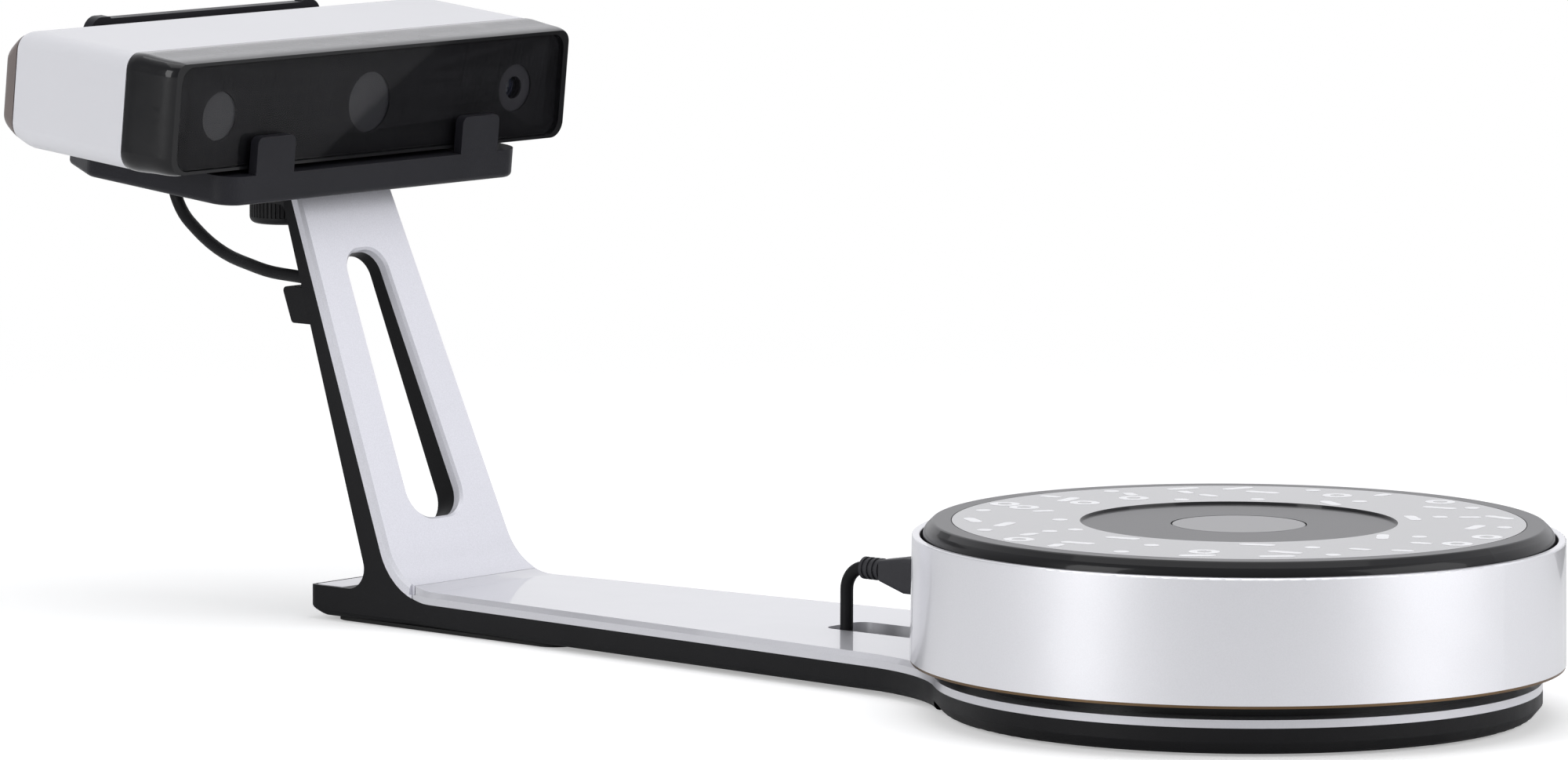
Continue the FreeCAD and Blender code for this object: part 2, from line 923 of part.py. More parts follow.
def make_stand_body(channel):
    """Black moulding: round base, base strip, rear foot, arm channel and top flange."""
    strip = plan_prism(strip_outline(0.0), strip_bottom_z, cover_seat_z)
    low_side = strip_bottom_z + tiny
    strip = softened(strip, strip_side_round, lambda edge: (
        span(edge).ZMax < low_side and span(edge).XLength > wide))
    rim = rear_deck_prism(0.0, strip_floor_z, rear_cover_top_z)
    round_base = turned([
        (0.0, base_bottom_z, 0.0),
        (base_low_radius, base_bottom_z, base_round),
        (base_radius, cover_seat_z / 2, 0.0),
        (base_radius, cover_seat_z, 0.0),
        (0.0, cover_seat_z, 0.0),
    ])
    skin_corner = front_x(cover_seat_z, arm_skin)
    arm = side_prism([
        (front_x(arm_top_z, arm_skin), arm_top_z, 0.0),
        (skin_corner, cover_seat_z, bend_radius + arm_skin),
        (seam_x + wide, cover_seat_z, 0.0),
        (seam_x + wide, strip_floor_z, 0.0),
        (rear_cover_front_x, strip_floor_z, 0.0),
        (rear_cover_front_x, rear_cover_top_z, 0.0),
        (back_x(rear_cover_top_z), rear_cover_top_z, arm_back_round),
        (back_x(flange_under_z), flange_under_z, flange_inner_round),
        (flange_end_x, flange_under_z, 0.0),
        (flange_end_x, arm_top_z, 0.0),
    ], -wide, wide)
    arm = arm.common(front_prism(arm_outline(0.0), far_back_x, 0.0))
    knee_x = back_x(flange_under_z)
    arm = arm.common(plan_prism([
        (flange_end_x, -flange_end_half_width, flange_end_round),
        (knee_x, -arm_top_half_width, 0.0),
        (knee_x, -wide, 0.0),
        (seam_x + wide, -wide, 0.0),
        (seam_x + wide, wide, 0.0),
        (knee_x, wide, 0.0),
        (knee_x, arm_top_half_width, 0.0),
        (flange_end_x, flange_end_half_width, flange_end_round),
    ], 0.0, arm_top_z + overrun))
    body = joined([strip, rim, round_base, arm]).cut(foot_end())
    low, high = strip_room()
    body = body.cut(joined([low, high, arm_room()]))
    body = body.cut(rear_deck_prism(rear_rim, cover_seat_z, rear_cover_top_z + overrun))
    body = body.cut(disc(base_low_radius, base_floor_z, cover_seat_z + overrun))
    body = body.cut(slot_prism(0.0, -overrun, slot_reach))
    posts = []
    for x, y in base_screw_spots():
        posts.append(disc(base_post_radius, base_bottom_z, cover_seat_z, x, y))
    body = joined([body] + posts)
    cuts = [channel]
    for x, y in foot_spots():
        cuts.append(disc(foot_pad_radius + fit_gap, 0.0, foot_pad_depth, x, y))
    for x, y in base_screw_spots():
        cuts.append(disc(base_screw_head_radius + fit_gap, 0.0, screw_seat_z, x, y))
        cuts.append(disc(base_screw_radius + fit_gap, 0.0, cover_seat_z + overrun, x, y))
    for x in stand_screw_x:
        seat = strip_bottom_z + stand_screw_head_depth
        head = stand_screw_head_radius + fit_gap
        cuts.append(disc(head, 0.0, seat, x, stand_screw_y))
        hole = stand_screw_radius + fit_gap
        cuts.append(disc(hole, 0.0, cover_seat_z, x, stand_screw_y))
    cuts.append(disc(stud_hole_radius, flange_under_z - overrun, arm_top_z + overrun, screw_x))
    return body.cut(joined_cuts(cuts))


def joined_cuts(shapes):
    """Several cutting shapes as one."""
    return Part.makeCompound(shapes)


def silver_skin():
    """Side view of the silver covers, drawn across the whole width."""
    front = -saddle_inner_radius / 2
    return side_prism([
        (front, cover_seat_z, 0.0),
        (front, deck_top_z, 0.0),
        (front_x(deck_top_z), deck_top_z, bend_radius),
        (front_x(arm_top_z), arm_top_z, 0.0),
        (front_x(arm_top_z, arm_skin), arm_top_z, 0.0),
        (front_x(cover_seat_z, arm_skin), cover_seat_z, bend_radius + arm_skin),
    ], -wide, wide)


def outer_side(edge, limit):
    """Whether an edge runs along one side, out past a limit from the middle."""
    box = span(edge)
    return box.YMin > limit or box.YMax < -limit


def make_deck_cover(channel):
    """Silver cover of the base strip and the round base, in one pressing."""
    deck = silver_skin().common(plan_prism(strip_outline(0.0), 0.0, arm_top_z))
    deck = deck.cut(block(far_back_x, seam_x + seam_gap / 2, -wide, wide, 0.0, arm_top_z))
    limit = rear_half_width - deck_edge_band
    deck = softened(deck, deck_edge_band, lambda edge: (
        outer_side(edge, limit) and span(edge).ZMin > deck_top_z - tiny), True)
    round_plate = disc(base_radius, cover_seat_z, disc_cover_top_z)
    saddle = plan_prism(strip_outline(deck_edge_band), deck_top_z - weld, saddle_top_z)
    saddle = saddle.common(disc(saddle_outer_radius, 0.0, drum_top_z))
    saddle = saddle.cut(block(0.0, wide, -wide, wide, 0.0, drum_top_z))
    deck = joined([deck, round_plate, saddle])
    deck = deck.cut(disc(saddle_inner_radius, disc_cover_top_z, drum_top_z))
    deck = deck.cut(strip_room()[1])
    bosses = []
    for x in stand_screw_x:
        foot = strip_floor_z + stiffener_thickness
        bosses.append(disc(stand_boss_radius, foot, room_top_z + deck_plate / 2, x, stand_screw_y))
    deck = joined([deck] + bosses)
    cuts = [cutout_prism(0.0, 0.0, drum_bottom_z), channel]
    for x in stand_screw_x:
        hole = stand_screw_radius + running_gap
        cuts.append(disc(hole, 0.0, room_top_z, x, stand_screw_y))
    for x, y in base_screw_spots():
        cuts.append(disc(base_screw_radius + fit_gap, 0.0, drum_bottom_z, x, y))
    for y in (-rear_half_width, rear_half_width):
        cuts.append(block(seam_x, seam_x + seam_notch, y - seam_notch, y + seam_notch,
                          room_top_z, arm_top_z))
    return deck.cut(joined_cuts(cuts))


def on_front(edge):
    """Whether the middle of an edge lies on the outer face of the arm's silver front."""
    point = edge.valueAt((edge.FirstParameter + edge.LastParameter) / 2)
    centre_z = deck_top_z + bend_radius
    centre_x = front_x(centre_z) + bend_radius / lean_cos
    on_bend = math.hypot(point.x - centre_x, point.z - centre_z) - bend_radius
    off = [point.z - deck_top_z, point.x - front_x(point.z), on_bend]
    return min(abs(value) for value in off) < running_gap


def make_arm_front_cover(channel):
    """Silver front of the arm with the bend at its foot and the opening's rim."""
    skin = silver_skin().common(front_prism(arm_outline(0.0), far_back_x, 0.0))
    skin = skin.cut(block(seam_x - seam_gap / 2, wide, -wide, wide, 0.0, arm_top_z))
    limit = arm_top_half_width - arm_bevel
    skin = softened(skin, arm_bevel, lambda edge: (
        outer_side(edge, limit) and on_front(edge)), True)
    skin = skin.cut(arm_room())
    skin = skin.cut(slot_prism(0.0, -overrun, slot_reach))
    around = slot_bottom_half_width + tiny
    skin = softened(skin, slot_bevel, lambda edge: (
        on_front(edge) and span(edge).ZMax < slot_top_z + tiny
        and span(edge).ZMin > slot_bottom_z - tiny
        and span(edge).YMax < around and span(edge).YMin > -around), True)
    notches = []
    for y in (-rear_half_width, rear_half_width):
        notches.append(block(seam_x - seam_notch, seam_x, y - seam_notch, y + seam_notch,
                             room_top_z, arm_top_z))
    return skin.cut(joined_cuts(notches + [channel]))


def make_rear_deck_cover():
    """Silver cover let into the rim of the rear foot, behind the arm."""
    cover = rear_deck_prism(rear_rim + running_gap, cover_seat_z, rear_cover_top_z)
    return softened(cover, rear_cover_edge, lambda edge: (
        span(edge).ZMin > rear_cover_top_z - tiny
        and span(edge).XMin < rear_cover_front_x - overrun))


def make_rear_foot_plate():
    """Soft plate under the rear of the strip, which bears on the table."""
    rear = edge_y(rear_half_x) - rear_plate_inset
    front = edge_y(rear_plate_front_x) - rear_plate_inset
    plate = plan_prism([
        (rear_plate_back_x, -rear, rear_plate_round),
        (rear_plate_front_x, -front, rear_plate_round),
        (rear_plate_front_x, front, rear_plate_round),
        (rear_plate_back_x, rear, rear_plate_round),
    ], 0.0, strip_bottom_z)
    holes = []
    for x in stand_screw_x:
        if x < rear_plate_front_x:
            hole = stand_screw_head_radius + fit_gap
            holes.append(disc(hole, -overrun, strip_bottom_z + overrun, x, stand_screw_y))
    return plate.cut(joined_cuts(holes))


def make_base_stiffener():
    """Folded steel strip on the floor of the base strip."""
    low = strip_floor_z
    plate = block(stiffener_x0, stiffener_x1, stiffener_y0, stiffener_y1,
                  low, low + stiffener_thickness)
    lip = block(stiffener_x0, stiffener_x1, stiffener_y1 - stiffener_thickness,
                stiffener_y1, low, low + stiffener_lip)
    steel = joined([plate, lip])
    holes = []
    for x in stand_screw_x:
        holes.append(disc(stand_screw_radius + fit_gap, 0.0, deck_top_z, x, stand_screw_y))
    return steel.cut(joined_cuts(holes))


def make_ballast():
    """Steel ring lying in the round base to weigh it down."""
    return ring(ballast_radius, ballast_hole_radius, base_floor_z,
                base_floor_z + ballast_thickness)


def make_feet():
    """Soft pads under the round base."""
    pads = [disc(foot_pad_radius, 0.0, foot_pad_depth, x, y) for x, y in foot_spots()]
    return Part.makeCompound(pads)


def screw_up(radius, head_radius, seat_z, head_depth, tip_z, x, y):
    """Screw driven upwards, its head bearing up against a seat."""
    head = disc(head_radius, seat_z - head_depth, seat_z, x, y)
    return joined([head, disc(radius, seat_z - head_depth, tip_z, x, y)])


def make_stand_screws():
    """Screws of the deck cover, of the drum on its base and of the drum's shell."""
    seat = strip_bottom_z + stand_screw_head_depth
    tip = room_top_z - fit_gap
    screws = []
    for x in stand_screw_x:
        screws.append(screw_up(stand_screw_radius, stand_screw_head_radius, seat,
                               stand_screw_head_depth, tip, x, stand_screw_y))
    for x, y in base_screw_spots():
        screws.append(screw_up(base_screw_radius, base_screw_head_radius, screw_seat_z,
                               base_screw_head_depth, base_screw_top_z, x, y))
    seat = drum_bottom_z + drum_screw_head_depth
    tip = drum_boss_top_z - overrun - fit_gap
    for x, y in drum_screw_spots():
        screws.append(screw_up(drum_screw_radius, drum_screw_head_radius, seat,
                               drum_screw_head_depth, tip, x, y))
    return Part.makeCompound(screws)


def make_cable_clip(channel):
    """Clip block behind the near rail with its thin back plate."""
    body = side_prism([
        (back_x(clip_low_z), clip_low_z, 0.0),
        (back_x(clip_high_z), clip_high_z, 0.0),
        (back_x(clip_high_z, -clip_out), clip_high_z, clip_round),
        (back_x(clip_low_z, -clip_out), clip_low_z, clip_round),
    ], clip_y0, clip_y1)
    plate = arm_back_block(clip_plate_y0, clip_plate_y1, clip_plate_low_s,
                           clip_plate_high_s, clip_plate, clip_round)
    return joined([body, plate]).cut(channel)


def arm_back_block(y0, y1, s0, s1, out, round_off):
    """Block standing out from the arm's back plane by a height."""
    back_sin = math.sin(math.radians(arm_back_lean))
    foot = arm_back_x + back_tan * arm_back_z

    def place(a, b):
        return V(foot - b * back_sin, a, b * back_cos)

    wire = corner_wire(box_corners(y0, y1, s0, s1, round_off), place)
    return Part.Face(wire).extrude(V(-back_cos * out, 0, -back_sin * out))


def drum_screw_spots():
    """Centres of the screws between the drum's floor and its shell."""
    spots = []
    for angle in spread(drum_screw_count, drum_screw_turn):
        x = drum_screw_orbit * math.cos(angle)
        spots.append((x, drum_screw_orbit * math.sin(angle)))
    return spots


def motor_spot():
    """Centre of the drive motor, one tooth mesh away from the platter's axis."""
    reach = gear_module * (ring_teeth + pinion_teeth) / 2
    angle = math.radians(motor_turn)
    return reach * math.cos(angle), reach * math.sin(angle)


def board_posts():
    """Centres of the posts under the turntable's board."""
    spots = []
    for x in (table_board_x0 + standoff_inset, table_board_x1 - standoff_inset):
        for y in (table_board_y0 + standoff_inset, table_board_y1 - standoff_inset):
            spots.append((x, y))
    return spots


def make_drum_shell():
    """Silver wall of the drum, drafted a little, with its ledge and the plug's window."""
    shell = turned([
        (drum_radius, drum_bottom_z + drum_trim_height, 0.0),
        (drum_top_radius, drum_top_z, drum_edge_round),
        (drum_inner_radius, drum_top_z, drum_edge_round),
        (drum_inner_radius, drum_ledge_top_z, 0.0),
        (drum_ledge_radius, drum_ledge_top_z, 0.0),
        (drum_ledge_radius, drum_floor_top_z, 0.0),
        (drum_inner_radius, drum_floor_top_z, 0.0),
        (drum_inner_radius, drum_bottom_z + drum_trim_height, 0.0),
    ])
    bosses = []
    for x, y in drum_screw_spots():
        bosses.append(disc(drum_boss_radius, drum_floor_top_z, drum_boss_top_z, x, y))
    room = disc(drum_inner_radius, drum_floor_top_z, drum_top_z)
    shell = joined([shell, joined_cuts(bosses).common(room)])
    half = plug_window_width / 2
    cuts = [block(-drum_radius - overrun, -drum_ledge_radius - overrun, socket_y - half,
                  socket_y + half, plug_window_low_z, plug_window_high_z)]
    hole = drum_screw_radius + running_gap
    for x, y in drum_screw_spots():
        cuts.append(disc(hole, drum_floor_top_z - overrun, drum_boss_top_z - overrun, x, y))
    return shell.cut(joined_cuts(cuts))


def make_drum_trim():
    """Thin bronze-coloured ring round the drum's lower edge."""
    return ring(drum_radius - drum_trim_depth / 2, drum_inner_radius,
                drum_bottom_z, drum_bottom_z + drum_trim_height)


def make_drum_base():
    """Black floor of the drum with its neck, spindle boss, bearing wall and posts."""
    floor_radius = drum_inner_radius - fit_gap
    floor = disc(floor_radius, drum_bottom_z, drum_floor_top_z)
    neck = ring(neck_radius, neck_radius - neck_wall, neck_bottom_z, drum_floor_top_z)
    boss = disc(spindle_boss_radius, drum_bottom_z, spindle_boss_top_z)
    race_low = bearing_low_z()
    wall_outer = race_outer_radius
    wall = ring(wall_outer, wall_outer - bearing_wall, drum_bottom_z, race_low)
    seat_inner = race_inner_radius
    seat = ring(wall_outer, seat_inner, race_low - bearing_wall, race_low)
    pieces = [floor, neck, boss, wall, seat]
    for x, y in board_posts():
        pieces.append(disc(standoff_radius, drum_bottom_z, table_board_z, x, y))
    for x, y in base_screw_spots():
        pieces.append(disc(base_post_radius, neck_bottom_z, drum_floor_top_z, x, y))
    motor_x, motor_y = motor_spot()
    seat_wall = motor_radius + motor_seat_wall + fit_gap
    cup = ring(seat_wall, motor_radius + fit_gap, drum_floor_top_z - weld,
               motor_seat_top_z, motor_x, motor_y)
    pad = disc(seat_wall, drum_floor_top_z - weld, motor_bottom_z, motor_x, motor_y)
    base = joined(pieces + [cup, pad])
    cuts = [disc(spindle_radius, spindle_foot_z, spindle_top_z)]
    for x, y in base_screw_spots():
        hole = base_screw_radius + running_gap
        cuts.append(disc(hole, 0.0, base_screw_top_z + fit_gap, x, y))
    for x, y in drum_screw_spots():
        hole = drum_screw_radius + fit_gap
        cuts.append(disc(hole, 0.0, drum_ledge_top_z, x, y))
        head = drum_screw_head_radius + fit_gap
        top = drum_bottom_z + drum_screw_head_depth
        cuts.append(disc(head, 0.0, top, x, y))
    return base.cut(joined_cuts(cuts))


def bearing_low_z():
    """Underside of the lower race."""
    upper_race_low = platter_under_z - race_thickness
    ball_room = ball_radius + running_gap
    return upper_race_low - ball_room - ball_room - race_thickness


def ball_mid_z():
    """Height of the balls' centres."""
    return platter_under_z - race_thickness - ball_radius - running_gap


def make_platter():
    """Turning plate with its skirt, hub and the recesses of its ring and cap."""
    inner_skirt = platter_radius - platter_skirt_wall
    return turned([
        (bush_radius, hub_bottom_z, 0.0),
        (hub_radius, hub_bottom_z, 0.0),
        (hub_radius, hub_plate_z, 0.0),
        (hub_plate_radius, hub_plate_z, 0.0),
        (hub_plate_radius, platter_under_z, 0.0),
        (inner_skirt, platter_under_z, 0.0),
        (inner_skirt, platter_skirt_z, 0.0),
        (platter_radius, platter_skirt_z, 0.0),
        (platter_radius, platter_bulge_z, platter_bulge_round),
        (platter_rim_radius, platter_top_z, platter_rim_round),
        (marker_outer_radius, platter_top_z, 0.0),
        (marker_outer_radius, marker_floor_z, 0.0),
        (marker_inner_radius, marker_floor_z, 0.0),
        (marker_inner_radius, platter_recess_z, 0.0),
        (cap_radius + cap_groove, platter_recess_z, 0.0),
        (cap_radius + cap_groove, cap_floor_z, 0.0),
        (hub_counterbore_radius, cap_floor_z, 0.0),
        (hub_counterbore_radius, bush_top_z, 0.0),
        (bush_radius, bush_top_z, 0.0),
    ])


def make_marker_ring():
    """Flat ring let into the platter, its top flush with the rim."""
    return ring(marker_outer_radius - cap_groove, marker_inner_radius, marker_floor_z,
                platter_top_z)


def make_centre_cap():
    """Round cap over the spindle, with a thin groove round it."""
    return turned([
        (0.0, cap_floor_z, 0.0),
        (cap_radius, cap_floor_z, 0.0),
        (cap_radius, platter_recess_z, cap_chamfer),
        (0.0, platter_recess_z, 0.0),
    ])


def make_spindle():
    """Fixed steel spindle with the groove of its retaining clip."""
    bar = disc(spindle_radius, spindle_foot_z, spindle_top_z)
    groove = ring(spindle_radius + overrun, clip_groove_radius, clip_bottom_z, clip_top_z)
    return bar.cut(groove)


def make_spindle_bush():
    """Bronze bush pressed into the hub, running on the spindle."""
    return ring(bush_radius, spindle_radius + running_gap, bush_bottom_z, bush_top_z)


def make_retaining_clip():
    """Open spring clip in the spindle's groove, above the bush."""
    clip = ring(clip_radius, clip_groove_radius, clip_bottom_z, clip_top_z)
    half = clip_mouth / 2
    return clip.cut(block(0.0, clip_radius + overrun, -half, half, 0.0, drum_top_z))


def make_race(low):
    """Flat steel ring of the thrust bearing."""
    return ring(race_outer_radius, race_inner_radius, low, low + race_thickness)


def ball_spots():
    """Centres of the bearing's balls."""
    spots = []
    for angle in spread(ball_count, 0.0):
        spots.append((ball_pitch_radius * math.cos(angle), ball_pitch_radius * math.sin(angle)))
    return spots


def make_balls():
    """Steel balls between the two races."""
    balls = []
    for x, y in ball_spots():
        balls.append(Part.makeSphere(ball_radius, V(x, y, ball_mid_z())))
    return Part.makeCompound(balls)


def make_ball_cage():
    """Thin ring that keeps the balls apart."""
    low = ball_mid_z() - cage_thickness / 2
    cage = ring(cage_outer_radius, cage_inner_radius, low, low + cage_thickness)
    holes = []
    for x, y in ball_spots():
        hole = ball_radius + running_gap
        holes.append(disc(hole, low - overrun, low + cage_thickness + overrun, x, y))
    return cage.cut(joined_cuts(holes))


def involute(angle):
    """Involute function of an angle in radians."""
    return math.tan(angle) - angle


def gear_points(teeth):
    """Outline of a spur gear as (radius, angle) points, one tooth centred on zero."""
    pitch = gear_module * teeth / 2
    pressure = math.radians(pressure_angle)
    base = pitch * math.cos(pressure)
    tip = pitch + gear_module * addendum_share
    root = pitch - gear_module * dedendum_share
    half_pitch = math.pi / (2 * teeth) - backlash / (2 * pitch)
    flank_start = max(root, base)
    radii = [flank_start, (flank_start + pitch) / 2, pitch, (pitch + tip) / 2, tip]
    flank = []
    for radius in radii:
        turn = math.acos(min(1.0, base / radius))
        flank.append((radius, half_pitch + involute(pressure) - involute(turn)))
    foot = (root, flank[0][1])
    up = [foot] + flank if root < base else flank
    points = []
    for tooth in range(teeth):
        middle = 2 * math.pi * tooth / teeth
        for radius, angle in up:
            points.append((radius, middle - angle))
        for radius, angle in reversed(up):
            points.append((radius, middle + angle))
    return points


def gear_solid(teeth, low, high, bore, x, y, turn):
    """Spur gear between two heights, with a round bore, turned by an angle."""
    wire_points = []
    for radius, angle in gear_points(teeth):
        around = angle + turn
        wire_points.append(V(x + radius * math.cos(around), y + radius * math.sin(around), low))
    wire = Part.makePolygon(wire_points + wire_points[:1])
    solid = Part.Face(wire).extrude(V(0, 0, high - low))
    return solid.cut(disc(bore, low - overrun, high + overrun, x, y))


def make_ring_gear():
    """Toothed ring fixed under the platter."""
    turn = math.radians(motor_turn)
    return gear_solid(ring_teeth, ring_gear_bottom_z, platter_under_z,
                      ring_gear_inner_radius, 0.0, 0.0, turn)


def make_motor_pinion():
    """Small steel gear with its shaft, a gap facing the ring gear's tooth."""
    x, y = motor_spot()
    turn = math.radians(motor_turn + 180.0 + 180.0 / pinion_teeth)
    gear = gear_solid(pinion_teeth, ring_gear_bottom_z, pinion_top_z,
                      motor_shaft_radius, x, y, turn)
    low = motor_top_z - overrun
    return joined([gear, disc(motor_shaft_radius, low, pinion_top_z, x, y)])


def make_drive_motor():
    """Closed can of the drive motor with its collar and shaft bore."""
    x, y = motor_spot()
    can = disc(motor_radius, motor_bottom_z, motor_top_z, x, y)
    can = joined([can, disc(motor_cap_radius, motor_bottom_z,
                            motor_top_z + motor_cap_height, x, y)])
    hole = motor_shaft_radius + running_gap
    return can.cut(disc(hole, motor_top_z - overrun - running_gap, drum_top_z, x, y))


def make_turntable_board():
    """Circuit board on its posts, with its driver chip."""
    high = table_board_z + board_thickness
    board = block(table_board_x0, table_board_x1, table_board_y0, table_board_y1,
                  table_board_z, high)
    half = chip_size / 2
    chip = block(chip_x - half, chip_x + half, chip_y - half, chip_y + half,
                 high - running_gap, high + chip_height)
    return joined([board, chip])


def make_link_socket():
    """Square metal socket on the board that takes the cable's drum plug."""
    low = table_board_z + board_thickness
    half = socket_width / 2
    back = socket_front_x + socket_depth
    body = block(socket_front_x, back, socket_y - half, socket_y + half, low, socket_top_z)
    wall = socket_wall
    mouth = block(socket_front_x - overrun, socket_front_x + socket_mouth_depth,
                  socket_y - half + wall, socket_y + half - wall,
                  low + wall, socket_top_z - wall)
    return body.cut(mouth)


def head_wire(n, half, low, high, low_round, high_round):
    """Rounded outline of the head across its depth station."""
    corners = [
        (-half, low, low_round),
        (half, low, low_round),
        (half, high, high_round),
        (-half, high, high_round),
    ]
    return corner_wire(corners, lambda a, b: V(n, a, b))


def head_prism(inset, back, front):
    """Length of the head's full section, pulled in by an inset."""
    wire = head_wire(back, head_half_width - inset, head_low_v + inset, head_high_v - inset,
                     head_low_round - inset, head_high_round - inset)
    return Part.Face(wire).extrude(V(front - back, 0, 0))


def head_loft(stations):
    """Smooth end of the head through (n, side inset, drop, rise) stations."""
    wires = []
    for n, side, drop, rise in stations:
        soft = min(side, drop)
        wires.append(head_wire(n, head_half_width - side, head_low_v + rise,
                               head_high_v - drop, head_low_round - soft,
                               head_high_round - soft))
    return Part.makeLoft(wires, True, False)


def bar(radius, back, front, u, v):
    """Round bar along the head's depth."""
    return rod(radius, back, front, u, v)


def sleeve(outer, inner, back, front, u, v):
    """Round tube along the head's depth."""
    return rod(outer, back, front, u, v).cut(rod(inner, back - overrun, front + overrun, u, v))


def slab(u0, u1, v0, v1, radius, back, front):
    """Rounded plate across the head, between two depths."""
    return front_prism(box_corners(u0, u1, v0, v1, radius), back, front)


def seated(shape):
    """Shape moved from the head's own frame to its place on the stand."""
    placed = shape.copy()
    turn = FreeCAD.Rotation(V(0, 1, 0), head_tilt)
    placed.Placement = FreeCAD.Placement(V(head_x, 0, head_z), turn)
    return placed


def make_front_bezel():
    """Black front of the head with the seat of the glass."""
    bezel = head_loft(bezel_stations)
    glass = glass_half_width + glass_fit
    seat_n = bezel_front_n - glass_setback - glass_thickness - mask_thickness
    pocket = slab(-glass, glass, glass_low_v - glass_fit, glass_high_v + glass_fit,
                  glass_round + glass_fit, seat_n, bezel_front_n + overrun)
    lip = glass_half_width - mask_rest
    rest = slab(-lip, lip, glass_low_v + mask_rest, glass_high_v - mask_rest,
                glass_round - mask_rest, seat_n - mask_rest - overrun, bezel_front_n)
    inner = head_prism(bezel_inner_front, bezel_step_n, seat_n - mask_rest)
    rear = head_prism(head_wall, bezel_back_n - overrun, bezel_step_n)
    return bezel.cut(joined_cuts([pocket, rest, inner, rear]))


def make_cover_glass():
    """Clear window in front of the cameras and the projector."""
    front = bezel_front_n - glass_setback
    return slab(-glass_half_width, glass_half_width, glass_low_v, glass_high_v,
                glass_round, front - glass_thickness, front)


def window_spots():
    """Centres and radii of the three windows."""
    return [
        (-window_spacing, camera_window_radius),
        (0.0, projector_window_radius),
        (window_spacing, camera_window_radius),
    ]


def make_window_mask():
    """Dark sheet behind the glass with the three round windows."""
    front = bezel_front_n - glass_setback - glass_thickness
    sheet = slab(-glass_half_width, glass_half_width, glass_low_v, glass_high_v,
                 glass_round, front - mask_thickness, front)
    holes = []
    for u, radius in window_spots():
        holes.append(bar(radius, front - mask_thickness - overrun, front + overrun, u, 0.0))
    return sheet.cut(joined_cuts(holes))


def head_screw_spots():
    """Centres of the screws behind the head."""
    spots = []
    for u in (-head_screw_u, head_screw_u):
        for v in (-head_screw_v, head_screw_v):
            spots.append((u, v))
    return spots


def board_post_spots():
    """Centres of the posts under the head's main board, as (n, u)."""
    spots = []
    for n in (main_board_n0 + main_board_post_inset, main_board_n1 - main_board_post_inset):
        for u in (main_board_u0 + main_board_post_inset, main_board_u1 - main_board_post_inset):
            spots.append((n, u))
    return spots


def make_head_shell():
    """White housing of the head, with tongues into its front and rear covers."""
    front = bezel_back_n - seam_line
    back = shell_back_n + seam_line
    shell = joined([head_prism(0.0, shell_end_stations[0][0], front),
                    head_loft(shell_end_stations)])
    tongue_in = head_wall + fit_gap
    narrow = tongue_in + tongue_wall
    room = head_prism(head_wall, back + tongue_depth, front - tongue_depth)
    past = tongue_depth + overrun
    mouth = head_prism(narrow, front - past, front + past)
    rear_narrow = rear_tongue_inset + tongue_wall
    end = head_prism(rear_narrow, back - past, back + past)
    pieces = [shell.cut(joined_cuts([room, mouth, end]))]
    tongue = head_prism(tongue_in, front - tongue_depth, front + tongue_depth)
    pieces.append(tongue.cut(mouth))
    tongue = head_prism(rear_tongue_inset, back - rear_tongue_depth, back + tongue_depth)
    pieces.append(tongue.cut(end))
    floor_v = head_low_v + head_wall / 2
    for n, u in board_post_spots():
        pieces.append(Part.makeCylinder(main_board_post_radius, main_board_v - floor_v,
                                        V(n, u, floor_v)))
    for u, v in head_screw_spots():
        pieces.append(bar(head_post_radius, back, back + head_screw_length, u, v))
        side = head_half_width - head_wall / 2
        reach = [u, math.copysign(side, u)]
        web_half = head_wall / 2
        pieces.append(Part.makeBox(head_screw_length, max(reach) - min(reach), head_wall,
                                   V(back, min(reach), v - web_half)))
    whole = joined(pieces)
    holes = []
    for u, v in head_screw_spots():
        hole = head_screw_radius + running_gap
        holes.append(bar(hole, back - overrun, back + head_screw_length - overrun, u, v))
    return whole.cut(joined_cuts(holes))


